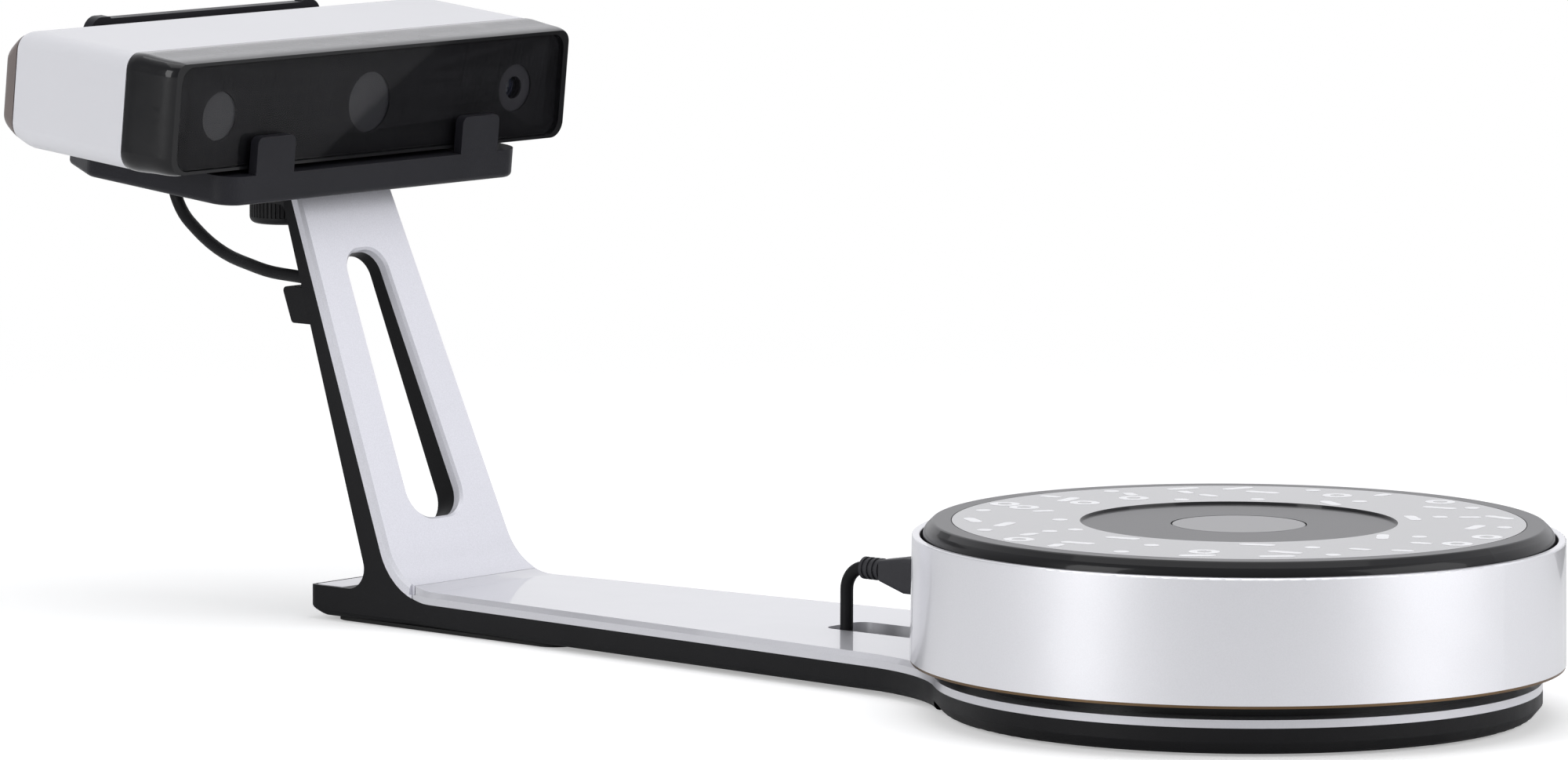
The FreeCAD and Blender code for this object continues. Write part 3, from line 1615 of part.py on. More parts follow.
def make_rear_cover():
    """Brown-grey rear cover of the head with vents, ports, posts and the button's hole."""
    cover = head_loft(rear_stations)
    inner = head_prism(head_wall + rear_cover_extra, cover_back_n + cover_wall,
                       shell_back_n + overrun)
    rim_n = shell_back_n + seam_line - rear_tongue_depth - fit_gap
    rim = head_prism(rear_tongue_inset - fit_gap, rim_n, shell_back_n + overrun)
    cover = cover.cut(joined_cuts([inner, rim]))
    wall_n = cover_back_n + cover_wall - running_gap
    posts = []
    for u in (-fan_post_at, fan_post_at):
        for v in (-fan_post_at, fan_post_at):
            posts.append(bar(fan_post_radius, wall_n, fan_back_n, u, v))
    half = link_port_half + port_wall
    posts.append(slab(link_port_u - half, link_port_u + half, link_port_v - half,
                      link_port_v + half, 0.0, wall_n, cover_back_n + link_port_depth))
    for u, v in button_post_spots():
        posts.append(bar(button_stem_radius, wall_n, button_board_n, u, v))
    cover = joined([cover] + posts)
    cuts = []
    for u, v in head_screw_spots():
        cuts.append(bar(head_screw_radius + fit_gap, cover_back_n - overrun,
                        shell_back_n + overrun, u, v))
        cuts.append(bar(head_screw_head_radius + fit_gap, cover_back_n - overrun,
                        cover_back_n + head_screw_head_depth - seam_line, u, v))
    for row in range(vent_rows):
        v = vent_v + (row - (vent_rows - 1) / 2) * vent_pitch
        half_v = vent_height / 2
        cuts.append(slab(vent_u - vent_half_length, vent_u + vent_half_length, v - half_v,
                         v + half_v, half_v * vent_round_share,
                         cover_back_n - overrun, cover_back_n + cover_wall + weld))
    port_low = main_board_v + board_thickness - port_fit
    for u, half, high in rear_ports():
        cuts.append(slab(u - half - port_fit, u + half + port_fit, port_low,
                         main_board_v + board_thickness + high + port_fit, 0.0,
                         cover_back_n - overrun, shell_back_n + overrun))
    half = link_port_half
    cuts.append(slab(link_port_u - half, link_port_u + half, link_port_v - half,
                     link_port_v + half, 0.0, cover_back_n - overrun,
                     cover_back_n + link_port_depth + overrun))
    hole = button_radius + running_gap + running_gap
    cuts.append(bar(hole, cover_back_n - overrun, cover_back_n + cover_wall + running_gap,
                    button_u, button_v))
    return cover.cut(joined_cuts(cuts))


def rear_ports():
    """Ports on the main board as (u, half width, height)."""
    return [
        (port_usb_u, port_usb_half_width, port_usb_high),
        (port_power_u, port_power_half_width, port_power_high),
    ]


def button_post_spots():
    """Centres of the posts that carry the button's board."""
    reach = button_base_half + button_stem_radius
    return [(button_u - reach, button_v + reach), (button_u + reach, button_v - reach)]


def make_port(u, half, high, round_bore):
    """Metal or plastic jack on the main board, its mouth flush with the rear cover."""
    low = main_board_v + board_thickness
    back = cover_back_n + seam_line
    body = slab(u - half, u + half, low, low + high, 0.0, back, back + port_depth)
    if round_bore:
        middle = low + high / 2
        bore = half - port_wall
        body = body.cut(bar(bore, back - overrun, back + port_depth - overrun, u, middle))
        return joined([body, bar(port_pin_radius, back + port_wall,
                                 back + port_depth - weld, u, middle)])
    wall = port_wall
    mouth = slab(u - half + wall, u + half - wall, low + wall, low + high - wall, 0.0,
                 back - overrun, back + port_depth - overrun)
    tongue_low = low + high / 2 - wall
    tongue = slab(u - half / 2, u + half / 2, tongue_low, tongue_low + wall + wall, 0.0,
                  back + overrun, back + port_depth - weld)
    return joined([body.cut(mouth), tongue])


def make_link_port():
    """Small socket in the rear cover that takes the cable's head plug."""
    half = link_port_half
    mouth_half = half - port_wall
    back = cover_back_n + seam_line
    body = slab(link_port_u - half, link_port_u + half, link_port_v - half,
                link_port_v + half, 0.0, back, cover_back_n + link_port_depth)
    return body.cut(slab(link_port_u - mouth_half, link_port_u + mouth_half,
                         link_port_v - mouth_half, link_port_v + mouth_half, 0.0,
                         back - overrun, cover_back_n + link_port_depth - overrun))


def make_optics_frame():
    """Metal plate across the head that carries the cameras and the projector."""
    plate = slab(-frame_half_width, frame_half_width, -frame_half_height,
                 frame_half_height, frame_round, frame_back_n, frame_front_n)
    tabs = []
    for u in (-frame_tab_u, frame_tab_u):
        tabs.append(slab(u - frame_tab_half, u + frame_tab_half, head_low_v + head_wall,
                         head_high_v - head_wall, 0.0, frame_back_n, frame_front_n))
    plate = joined([plate] + tabs)
    holes = []
    for u in (-window_spacing, 0.0, window_spacing):
        hole = sensor_window_radius if u else engine_hole_radius
        holes.append(bar(hole, frame_back_n - overrun, frame_front_n + overrun, u, 0.0))
    return plate.cut(joined_cuts(holes))


def make_barrel(u, outer, nose):
    """Lens barrel standing on the optics frame, open at the nose."""
    inner = outer - camera_barrel_wall
    tube = sleeve(outer, inner, frame_front_n, camera_barrel_front_n, u, 0.0)
    nose_back = camera_barrel_front_n - nose_thickness
    return joined([tube, sleeve(inner + camera_barrel_wall / 2, nose, nose_back,
                                camera_barrel_front_n, u, 0.0)])


def make_lens(u, outer, depth):
    """Round glass behind the nose of a barrel, domed to the front."""
    radius = outer - camera_barrel_wall - running_gap
    front = camera_barrel_front_n - nose_thickness
    body = bar(radius, front - depth, front, u, 0.0)
    dome = Part.makeSphere(radius * dome_share, V(front - radius * dome_share, u, 0.0))
    back = bar(radius, front - depth, front - depth / 2, u, 0.0)
    return joined([body.common(dome), back])


def make_sensor_board(u):
    """Small board with an image sensor behind the optics frame."""
    high = frame_back_n
    board = slab(u - sensor_board_half_width, u + sensor_board_half_width,
                 -sensor_board_half_height, sensor_board_half_height, 0.0,
                 high - board_thickness, high)
    half = sensor_size / 2
    chip = slab(u - half, u + half, -half, half, 0.0,
                high - running_gap, high + sensor_height)
    return joined([board, chip])


def make_projector_engine():
    """Light engine behind the frame's middle opening."""
    body = slab(-engine_half_width, engine_half_width, -engine_half_height,
                engine_half_height, 0.0, engine_back_n, frame_back_n)
    return body.cut(bar(engine_hole_radius, engine_back_n + sink_plate,
                        frame_back_n + overrun, 0.0, 0.0))


def make_heat_sink():
    """Finned aluminium block on the back of the light engine."""
    plate_back = engine_back_n - sink_plate
    pieces = [slab(-sink_half_width, sink_half_width, -sink_half_height, sink_half_height,
                   0.0, plate_back, engine_back_n)]
    pitch = (2 * sink_half_width - fin_thickness) / (fin_count - 1)
    for index in range(fin_count):
        u = -sink_half_width + index * pitch
        pieces.append(slab(u, u + fin_thickness, -sink_half_height, sink_half_height, 0.0,
                           sink_back_n, plate_back))
    return joined(pieces)


def make_fan_frame():
    """Square fan frame with three spokes, a middle plate and the rotor's axle."""
    half = fan_half_size
    frame = slab(-half, half, -half, half, fan_corner_round, fan_back_n, fan_front_n)
    frame = frame.cut(bar(fan_bore_radius, fan_back_n - overrun, fan_front_n + overrun,
                          0.0, 0.0))
    spoke_front = fan_back_n + fan_spoke_depth
    pieces = [frame, bar(fan_hub_radius, fan_back_n, spoke_front, 0.0, 0.0)]
    half_spoke = fan_spoke_width / 2
    for angle in spread(3, 90.0):
        spoke = slab(0.0, fan_bore_radius + fan_spoke_depth / 2, -half_spoke, half_spoke,
                     0.0, fan_back_n, spoke_front)
        spoke.rotate(V(0, 0, 0), V(1, 0, 0), math.degrees(angle))
        pieces.append(spoke)
    pieces.append(bar(fan_axle_radius, fan_back_n, fan_blade_front_n - fan_hub_cup,
                      0.0, 0.0))
    return joined(pieces)


def make_fan_rotor():
    """Fan hub with its slanted blades."""
    hub = bar(fan_hub_radius, fan_blade_back_n, fan_blade_front_n, 0.0, 0.0)
    pieces = [hub]
    middle = (fan_blade_front_n + fan_blade_back_n) / 2
    half_chord = (fan_blade_front_n - fan_blade_back_n) / 2
    half_thick = fan_blade_thickness / 2
    reach = bar(fan_blade_radius, fan_blade_back_n, fan_blade_front_n, 0.0, 0.0)
    for angle in spread(fan_blade_count, 0.0):
        blade = Part.makeBox(half_chord + half_chord, fan_blade_thickness, fan_blade_radius,
                             V(-half_chord, -half_thick, 0.0))
        blade.rotate(V(0, 0, 0), V(0, 0, 1), fan_blade_pitch)
        blade.translate(V(middle, 0, 0))
        blade.rotate(V(0, 0, 0), V(1, 0, 0), math.degrees(angle))
        pieces.append(blade.common(reach))
    rotor = joined(pieces)
    hole = fan_axle_radius + running_gap
    bore = bar(hole, fan_blade_back_n - overrun, fan_blade_front_n - fan_hub_cup + fit_gap,
               0.0, 0.0)
    return rotor.cut(bore)


def make_main_board():
    """Main circuit board on its posts, with the processor."""
    board = Part.makeBox(main_board_n1 - main_board_n0, main_board_u1 - main_board_u0,
                         board_thickness, V(main_board_n0, main_board_u0, main_board_v))
    middle_n = main_board_n1 - head_chip_half - head_chip_half
    middle_u = (main_board_u0 + main_board_u1) / 2
    size = head_chip_half + head_chip_half
    chip = Part.makeBox(size, size, board_thickness / 2 + head_chip_height,
                        V(middle_n - head_chip_half, middle_u - head_chip_half,
                          main_board_v + board_thickness / 2))
    return joined([board, chip])


def make_power_button():
    """Round button cap with its flange and stem."""
    inner_wall = cover_back_n + cover_wall
    cap = bar(button_radius, cover_back_n - button_out, inner_wall + running_gap,
              button_u, button_v)
    flange = bar(button_flange_radius, inner_wall, inner_wall + button_flange_depth,
                 button_u, button_v)
    stem = bar(button_stem_radius, inner_wall, button_stem_front_n, button_u, button_v)
    return joined([cap, flange, stem])


def make_button_switch():
    """Switch on its small board behind the button, with the well of the stem."""
    half = button_base_half
    back = button_board_n - button_base_depth
    body = slab(button_u - half, button_u + half, button_v - half, button_v + half, 0.0,
                back, button_board_n)
    hole = button_stem_radius + running_gap
    board_half = half + button_stem_radius + button_stem_radius
    board = slab(button_u - board_half, button_u + board_half, button_v - board_half,
                 button_v + board_half, 0.0, button_board_n,
                 button_board_n + board_thickness)
    return joined([body, board]).cut(bar(hole, back - overrun,
                                         button_board_n - button_flange_depth,
                                         button_u, button_v))


def make_head_screws():
    """Screws that hold the rear cover to the housing's posts."""
    seat = cover_back_n + head_screw_head_depth - seam_line
    tip = shell_back_n + seam_line + head_screw_length - overrun - fit_gap
    screws = []
    for u, v in head_screw_spots():
        head = bar(head_screw_head_radius, cover_back_n + seam_line, seat, u, v)
        screws.append(joined([head, bar(head_screw_radius, seat - weld, tip, u, v)]))
    return Part.makeCompound(screws)


def cradle_outline(inset):
    """Plan of the cradle with its slanted rear corners, pulled in by an inset."""
    half = cradle_half_width - inset
    rear = cradle_rear_half_width - inset
    low = [
        (lip_front_n - inset, -half, lip_corner_round - inset),
        (cradle_slant_n, -half, cradle_corner_round - inset),
        (cradle_back_n + inset, -rear, cradle_rear_round - inset),
    ]
    high = [(n, -u, r) for n, u, r in reversed(low)]
    return low + high


def make_cradle():
    """Black holder under and behind the head, with hooks, rear frame and screw boss."""
    wall = cradle_wall
    pan = plan_prism(cradle_outline(0.0), cradle_low_v, cradle_seat_v)
    pan = softened(pan, cradle_edge_round, lambda edge: (
        span(edge).ZMax < cradle_low_v + tiny))
    room = plan_prism(cradle_outline(wall), cradle_low_v - overrun,
                      cradle_seat_v - cradle_top)
    pieces = [pan.cut(room)]
    for side in (-1, 1):
        inner = side * hook_inner_u
        outer = side * hook_outer_u
        hook = front_prism([
            (inner, cradle_seat_v - wall, 0.0),
            (outer, cradle_seat_v - wall, 0.0),
            (outer, hook_top_v, hook_round),
            (inner, hook_top_v, hook_round),
        ], lip_back_n, lip_front_n)
        pieces.append(hook)
        post_in = side * frame_post_inner_u
        post_out = side * frame_post_outer_u
        pieces.append(front_prism([
            (post_in, cradle_seat_v - wall, 0.0),
            (post_out, cradle_seat_v - wall, 0.0),
            (post_out, frame_bump_high_v, frame_bump_round),
            (post_in, frame_bump_high_v, frame_bar_round),
        ], cradle_back_n, frame_post_front_n))
        u = side * rib_half_spacing
        half = cradle_rib / 2
        pieces.append(block(cradle_back_n + half, lip_back_n, u - half, u + half,
                            cradle_low_v + half, cradle_seat_v - cradle_top / 2))
    reach = frame_post_outer_u - frame_bump_round
    pieces.append(block(cradle_back_n, frame_post_front_n, -reach, reach, frame_bar_low_v,
                        frame_bar_high_v))
    cradle = joined(pieces)
    pockets = []
    for n0, n1, u0, u1 in pad_spots():
        pockets.append(block(n0, n1, u0, u1, cradle_seat_v - pad_depth,
                             cradle_seat_v + overrun))
    cradle = seated(cradle.cut(joined_cuts(pockets)))
    half = cradle_boss_half_width
    boss = plan_prism(box_corners(cradle_boss_back_x, cradle_boss_front_x, -half, half,
                                  cradle_boss_round), arm_top_z, head_z)
    under = block(cradle_back_n, lip_front_n, -half - overrun, half + overrun,
                  cradle_low_v - wide, cradle_seat_v - cradle_top / 2)
    cradle = joined([cradle, boss.common(seated(under))])
    hollow = ring(boss_core_radius + wide, boss_core_radius, arm_top_z + boss_skin,
                  head_z, screw_x)
    pocket = plan_prism(box_corners(cradle_boss_back_x + wall, cradle_boss_front_x - wall,
                                    -half + wall, half - wall, cradle_boss_round - wall),
                        arm_top_z + boss_skin, head_z)
    below = block(cradle_back_n, lip_front_n, -half, half, cradle_low_v - wide,
                  cradle_seat_v - cradle_top)
    cradle = cradle.cut(pocket.common(hollow).common(seated(below)))
    cradle = cradle.cut(disc(insert_radius, insert_bottom_z, insert_top_z, screw_x))
    hole = disc(stud_hole_radius, arm_top_z - overrun, insert_bottom_z, screw_x)
    return cradle.cut(hole)


def pad_spots():
    """Pads on the cradle as (n, n, u, u) rectangles."""
    spots = []
    for n in (pad_front_n, pad_rear_n):
        for side in (-1, 1):
            u0, u1 = sorted((side * pad_u0, side * pad_u1))
            spots.append((n - pad_width, n, u0, u1))
    return spots


def make_cradle_pads():
    """Soft strips in the cradle on which the head rests."""
    pads = []
    for n0, n1, u0, u1 in pad_spots():
        pads.append(block(n0 + running_gap, n1 - running_gap, u0 + running_gap,
                          u1 - running_gap, cradle_seat_v - pad_depth, head_low_v))
    return Part.makeCompound(pads)


def make_insert():
    """Brass threaded insert in the cradle's boss."""
    return ring(insert_radius, stud_radius + running_gap, insert_bottom_z, insert_top_z,
                screw_x)


def make_knob():
    """Fluted knob of the thumb screw."""
    body = disc(knob_radius, knob_low_z, knob_high_z, screw_x)
    body = softened(body, knob_edge_round, lambda edge: span(edge).ZMax < knob_low_z + tiny)
    cuts = []
    for angle in spread(knob_groove_count, 0.0):
        x = screw_x + knob_radius * math.cos(angle)
        y = knob_radius * math.sin(angle)
        cuts.append(disc(knob_groove_radius, knob_low_z + knob_edge_round,
                         knob_high_z + overrun, x, y))
    cuts.append(disc(stud_radius, knob_low_z + knob_floor, knob_high_z + overrun, screw_x))
    return body.cut(joined_cuts(cuts))


def make_stud():
    """Steel stud fixed in the knob."""
    return disc(stud_radius, knob_low_z + knob_floor, stud_top_z, screw_x)


def make_washer():
    """Flat washer between the knob and the flange."""
    top = flange_under_z - running_gap
    return ring(washer_radius, stud_hole_radius, knob_high_z, top, screw_x)


def make_cable():
    """Cable from the head's plug down the arm and along the strip to the drum's plug."""
    cord, route, radii = cable_solid(cable_radius)
    section = math.pi * cable_radius * cable_radius
    print("cable length", round(route.Length, 1), "volume share",
          round(cord.Volume / (section * route.Length), 4))
    print("cable bend radii", [round(radius, 1) for radius in radii])
    return cord


def make_head_plug(bore):
    """Right-angle plug behind the head."""
    half = head_plug_half
    across = slab(-half, half, head_plug_high_v - half - half, head_plug_high_v,
                  head_plug_round, head_plug_out_n, cover_back_n - running_gap)
    down = slab(-half, half, head_plug_low_v, head_plug_high_v, head_plug_round,
                head_plug_out_n, head_plug_inner_n)
    tip_half = link_port_half - port_wall - running_gap
    tip = slab(link_port_u - tip_half, link_port_u + tip_half, link_port_v - tip_half,
               link_port_v + tip_half, 0.0, cover_back_n - overrun,
               cover_back_n + head_plug_pin_depth)
    return seated(joined([across, down, tip])).cut(bore)


def make_drum_plug(bore):
    """Grey moulded plug at the drum with its ribbed sleeve."""
    def section(x, width, low, high):
        corners = box_corners(socket_y - width / 2, socket_y + width / 2, low, high,
                              drum_plug_round)
        return corner_wire(corners, lambda a, b: V(x, a, b))

    neck = section(drum_plug_neck_x, drum_plug_neck_width, drum_plug_neck_low_z,
                   drum_plug_neck_high_z)
    back = section(drum_plug_back_x, drum_plug_width, drum_plug_low_z, drum_plug_high_z)
    taper = Part.makeLoft([neck, back], True, True)
    grip = Part.Face(back).extrude(V(drum_plug_stop_x - drum_plug_back_x, 0, 0))
    sleeve_part = rod(relief_radius, cable_relief_x, drum_plug_neck_x, cable_up_y,
                      cable_plug_z)
    ribs = []
    pitch = (drum_plug_neck_x - cable_relief_x) / relief_rib_count
    for index in range(relief_rib_count):
        x = cable_relief_x + pitch * index
        ribs.append(rod(relief_radius + relief_rib, x, x + pitch / 2, cable_up_y,
                        cable_plug_z))
    return joined([taper, grip, sleeve_part] + ribs).cut(bore)


def make_drum_plug_tip():
    """Metal tip of the drum plug, inside the socket."""
    half = drum_plug_tip_width / 2
    tip = block(drum_plug_stop_x, drum_plug_tip_x, socket_y - half, socket_y + half,
                drum_plug_tip_low_z, drum_plug_tip_high_z)
    wall = socket_wall
    return tip.cut(block(drum_plug_stop_x + overrun, drum_plug_tip_x + overrun,
                         socket_y - half + wall, socket_y + half - wall,
                         drum_plug_tip_low_z + wall, drum_plug_tip_high_z - wall))


def save(name, shape):
    """Move a finished sub-part to the centred frame and write it."""
    moved = shape.copy()
    moved.translate(V(table_x, 0, 0))
    moved.exportStep("parts/" + name + ".step")
    box = moved.BoundBox
    print(name, len(moved.Solids), round(moved.Volume), moved.isValid(),
          [round(value, 1) for value in (box.XMin, box.XMax, box.YMin, box.YMax,
                                         box.ZMin, box.ZMax)])


def build():
    """Make every sub-part and write it under its own name."""
    channel = cable_solid(cable_radius + cable_room)[0]
    bore = cable_solid(cable_radius + running_gap)[0]
    save("stand_body", make_stand_body(channel))
    save("deck_cover", make_deck_cover(channel))
    save("arm_front_cover", make_arm_front_cover(channel))
    save("rear_deck_cover", make_rear_deck_cover())
    save("rear_foot_plate", make_rear_foot_plate())
    save("base_stiffener", make_base_stiffener())
    save("ballast_plate", make_ballast())
    save("rubber_feet", make_feet())
    save("stand_screws", make_stand_screws())
    save("cable_clip", make_cable_clip(channel))
    save("drum_shell", make_drum_shell())
    save("drum_trim", make_drum_trim())
    save("drum_base", make_drum_base())
    save("platter", make_platter())
    save("marker_ring", make_marker_ring())
    save("centre_cap", make_centre_cap())
    save("spindle", make_spindle())
    save("spindle_bush", make_spindle_bush())
    save("retaining_clip", make_retaining_clip())
    save("lower_race", make_race(bearing_low_z()))
    save("upper_race", make_race(platter_under_z - race_thickness))
    save("bearing_balls", make_balls())
    save("ball_cage", make_ball_cage())
    save("ring_gear", make_ring_gear())
    save("motor_pinion", make_motor_pinion())
    save("drive_motor", make_drive_motor())
    save("turntable_board", make_turntable_board())
    save("link_socket", make_link_socket())
    save("front_bezel", seated(make_front_bezel()))
    save("cover_glass", seated(make_cover_glass()))
    save("window_mask", seated(make_window_mask()))
    save("head_shell", seated(make_head_shell()))
    save("rear_cover", seated(make_rear_cover()))
    save("optics_frame", seated(make_optics_frame()))
    barrels = []
    lenses = []
    boards = []
    for u in (-window_spacing, window_spacing):
        barrels.append(make_barrel(u, camera_barrel_radius, camera_nose_open))
        lenses.append(make_lens(u, camera_barrel_radius, camera_lens_depth))
        boards.append(make_sensor_board(u))
    save("camera_barrels", seated(Part.makeCompound(barrels)))
    save("camera_lenses", seated(Part.makeCompound(lenses)))
    save("camera_boards", seated(Part.makeCompound(boards)))
    barrel = make_barrel(0.0, projector_barrel_radius, projector_nose_open)
    save("projector_barrel", seated(barrel))
    lens = make_lens(0.0, projector_barrel_radius, projector_lens_depth)
    save("projector_lens", seated(lens))
    save("projector_engine", seated(make_projector_engine()))
    save("heat_sink", seated(make_heat_sink()))
    save("fan_frame", seated(make_fan_frame()))
    save("fan_rotor", seated(make_fan_rotor()))
    save("main_board", seated(make_main_board()))
    usb = make_port(port_usb_u, port_usb_half_width, port_usb_high, False)
    save("usb_port", seated(usb))
    power = make_port(port_power_u, port_power_half_width, port_power_high, True)
    save("power_port", seated(power))
    save("link_port", seated(make_link_port()))
    save("power_button", seated(make_power_button()))
    save("button_switch", seated(make_button_switch()))
    save("head_screws", seated(make_head_screws()))
    save("cradle", make_cradle())
    save("cradle_pads", seated(make_cradle_pads()))
    save("cradle_insert", make_insert())
    save("thumb_knob", make_knob())
    save("thumb_stud", make_stud())
    save("thumb_washer", make_washer())
    save("link_cable", make_cable())
    save("head_plug", make_head_plug(bore))
    save("drum_plug", make_drum_plug(bore))
    save("drum_plug_tip", make_drum_plug_tip())


build()
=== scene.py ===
# %% [markdown]
# # A desktop 3D scanner, dressed for the camera
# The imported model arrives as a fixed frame: every solid is already in its place, in
# metres, with the object's long side along X. Everything below adds a camera, a pale
# studio, finishes for each solid and the printed or moulded details that are too fine
# for the solids. Nothing in the frame is moved or reshaped.

# %% Load the frame
import bpy
import bmesh
import math
from mathutils import Matrix, Vector


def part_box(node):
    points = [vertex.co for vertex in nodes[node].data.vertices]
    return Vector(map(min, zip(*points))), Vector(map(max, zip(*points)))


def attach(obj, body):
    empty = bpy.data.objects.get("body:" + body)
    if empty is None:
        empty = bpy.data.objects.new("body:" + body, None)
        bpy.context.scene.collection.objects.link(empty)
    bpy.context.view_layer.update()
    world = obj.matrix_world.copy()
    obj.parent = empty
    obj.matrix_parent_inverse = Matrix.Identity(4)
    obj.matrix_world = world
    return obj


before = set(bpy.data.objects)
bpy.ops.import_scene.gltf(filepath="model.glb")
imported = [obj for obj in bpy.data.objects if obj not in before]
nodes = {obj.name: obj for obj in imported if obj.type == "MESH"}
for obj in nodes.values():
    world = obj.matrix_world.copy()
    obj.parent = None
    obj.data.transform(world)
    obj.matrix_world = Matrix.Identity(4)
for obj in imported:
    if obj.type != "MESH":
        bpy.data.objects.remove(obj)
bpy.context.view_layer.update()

# %% [markdown]
# The head leans nose down, so its fine details are easiest to give in the head's own
# directions: n forward out of the glass, u to the side and v up. One small function
# turns such a position into the frame. The alternative, a tilted empty as a parent,
# would hide the numbers and make every piece a child of something that isn't a body.

# %% Shared positions
MM = 0.001
head_behind_axis = 380.4
head_height = 177.7
platter_low, platter_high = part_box("platter")
platter_axis_x = (platter_low[0] + platter_high[0]) / 2
platter_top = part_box("marker_ring")[1][2]
head_tilt = math.radians(5.7)
head_forward = Vector((math.cos(head_tilt), 0, -math.sin(head_tilt)))
head_up = Vector((math.sin(head_tilt), 0, math.cos(head_tilt)))
head_origin = Vector((platter_axis_x - head_behind_axis * MM, 0, head_height * MM))


def on_head(n, u, v):
    """Position in the frame of a point given in the head's directions, in millimetres."""
    return head_origin + head_forward * n * MM + Vector((0, u * MM, 0)) + head_up * v * MM


print("platter axis at x", round(platter_axis_x, 4), "top at", round(platter_top, 4))

# %% [markdown]
# ## Camera
# The picture was taken from far away with a long lens: the far edge of the turntable is
# hardly smaller than the near one. A wide lens close by would give the same framing but
# splay the shapes. The camera looks down by six and a half degrees, 40 degrees round
# from the object's side, with a slight roll.

# %% Camera at the picture's view
view_turn = math.radians(39.781)
view_drop = math.radians(6.572)
view_roll = math.radians(0.224)
view_distance = 3557.8
aim_behind_axis = 193.816
aim_height = 94.768
focal_pixels = 13407.96
picture_width = 2000
sensor_width = 36.0
aim = Vector((platter_axis_x - aim_behind_axis * MM, 0, aim_height * MM))
away = Vector((math.sin(view_turn) * math.cos(view_drop),
               -math.cos(view_turn) * math.cos(view_drop), math.sin(view_drop)))
side = (-away).cross(Vector((0, 0, 1))).normalized()
top = side.cross(-away)
right = side * math.cos(view_roll) + top * math.sin(view_roll)
up = top * math.cos(view_roll) - side * math.sin(view_roll)
camera_data = bpy.data.cameras.new("camera")
camera_data.sensor_width = sensor_width
camera_data.lens = focal_pixels * sensor_width / picture_width
camera_data.clip_end = 20
camera = bpy.data.objects.new("camera", camera_data)
bpy.context.scene.collection.objects.link(camera)
turn = Matrix((right, up, away)).transposed().to_4x4()
camera.matrix_world = Matrix.Translation(aim + away * view_distance * MM) @ turn
bpy.context.scene.camera = camera
print("camera lens", round(camera_data.lens, 1), "mm at", [round(c, 3) for c in camera.location])

# %% [markdown]
# ## Node helpers
# Every finish below is a small node tree. A few helpers keep the cells short: one starts a
# material and hands over its tree, one adds a node and sets its sockets by name, and two do
# the sums that come up again and again. Writing each tree out in full would do the same and
# hide what differs between them.


# %% Material and node helpers
def new_finish(name):
    """Fresh node material with its tree and its shader."""
    finish = bpy.data.materials.new(name)
    finish.use_nodes = True
    tree = finish.node_tree
    return finish, tree, tree.nodes["Principled BSDF"]


def add(tree, kind, **values):
    """Adds a node to a tree and sets its named inputs or settings."""
    node = tree.nodes.new(kind)
    for key, value in values.items():
        if key in node.inputs:
            node.inputs[key].default_value = value
        else:
            setattr(node, key, value)
    return node


def set_range(node, low, high, to_low, to_high):
    """Sets the four ends of a map-range node."""
    for key, value in (("From Min", low), ("From Max", high),
                       ("To Min", to_low), ("To Max", to_high)):
        node.inputs[key].default_value = value


def either(tree, *sockets):
    """One when any of several zero-or-one sockets is one."""
    result = sockets[0]
    for socket in sockets[1:]:
        larger = add(tree, "ShaderNodeMath", operation="MAXIMUM")
        tree.links.new(result, larger.inputs[0])
        tree.links.new(socket, larger.inputs[1])
        result = larger.outputs[0]
    return result


print("helpers ready")

# %% [markdown]
# ## Floor
# A product picture on white has no horizon: the table runs out into pure white. The
# floor here is plain matt white, which takes the object's shadow, and for rays from the
# camera it gains a glow that grows with the distance from the object, up to white. More
# lamps would whiten it too, but they would also burn out the silver.


# %% White floor
def flat_card(name, corners, height):
    """Level mesh card through corners in plan."""
    mesh = bpy.data.meshes.new(name)
    mesh.from_pydata([(x, y, height) for x, y in corners], [], [tuple(range(len(corners)))])
    card = bpy.data.objects.new(name, mesh)
    bpy.context.scene.collection.objects.link(card)
    return card


floor_reach = 9
floor_drop = 0.0002
floor = flat_card("floor", [(-floor_reach, -floor_reach), (floor_reach, -floor_reach),
                            (floor_reach, floor_reach), (-floor_reach, floor_reach)],
                  -floor_drop)
floor_finish, tree, shader = new_finish("floor_white")
shader.inputs["Base Color"].default_value = (0.86, 0.86, 0.86, 1)
shader.inputs["Roughness"].default_value = 0.95
shader.inputs["Specular IOR Level"].default_value = 0.1
place = add(tree, "ShaderNodeTexCoord")
reach = add(tree, "ShaderNodeVectorMath", operation="LENGTH")
fade = add(tree, "ShaderNodeMapRange", interpolation_type="SMOOTHSTEP")
set_range(fade, 0.25, 1.1, 0.0, 1.0)
near_glow = add(tree, "ShaderNodeEmission", Strength=0.36)
near = add(tree, "ShaderNodeAddShader")
far = add(tree, "ShaderNodeEmission", Strength=1.0)
blend = add(tree, "ShaderNodeMixShader")
path = add(tree, "ShaderNodeLightPath")
pick = add(tree, "ShaderNodeMixShader")
tree.links.new(place.outputs["Object"], reach.inputs[0])
tree.links.new(reach.outputs["Value"], fade.inputs["Value"])
tree.links.new(shader.outputs[0], near.inputs[0])
tree.links.new(near_glow.outputs[0], near.inputs[1])
tree.links.new(fade.outputs["Result"], blend.inputs[0])
tree.links.new(near.outputs[0], blend.inputs[1])
tree.links.new(far.outputs[0], blend.inputs[2])
tree.links.new(path.outputs["Is Camera Ray"], pick.inputs[0])
tree.links.new(shader.outputs[0], pick.inputs[1])
tree.links.new(blend.outputs[0], pick.inputs[2])
tree.links.new(pick.outputs[0], tree.nodes["Material Output"].inputs["Surface"])
floor.data.materials.append(floor_finish)
print("floor side", floor.dimensions.x, "m")

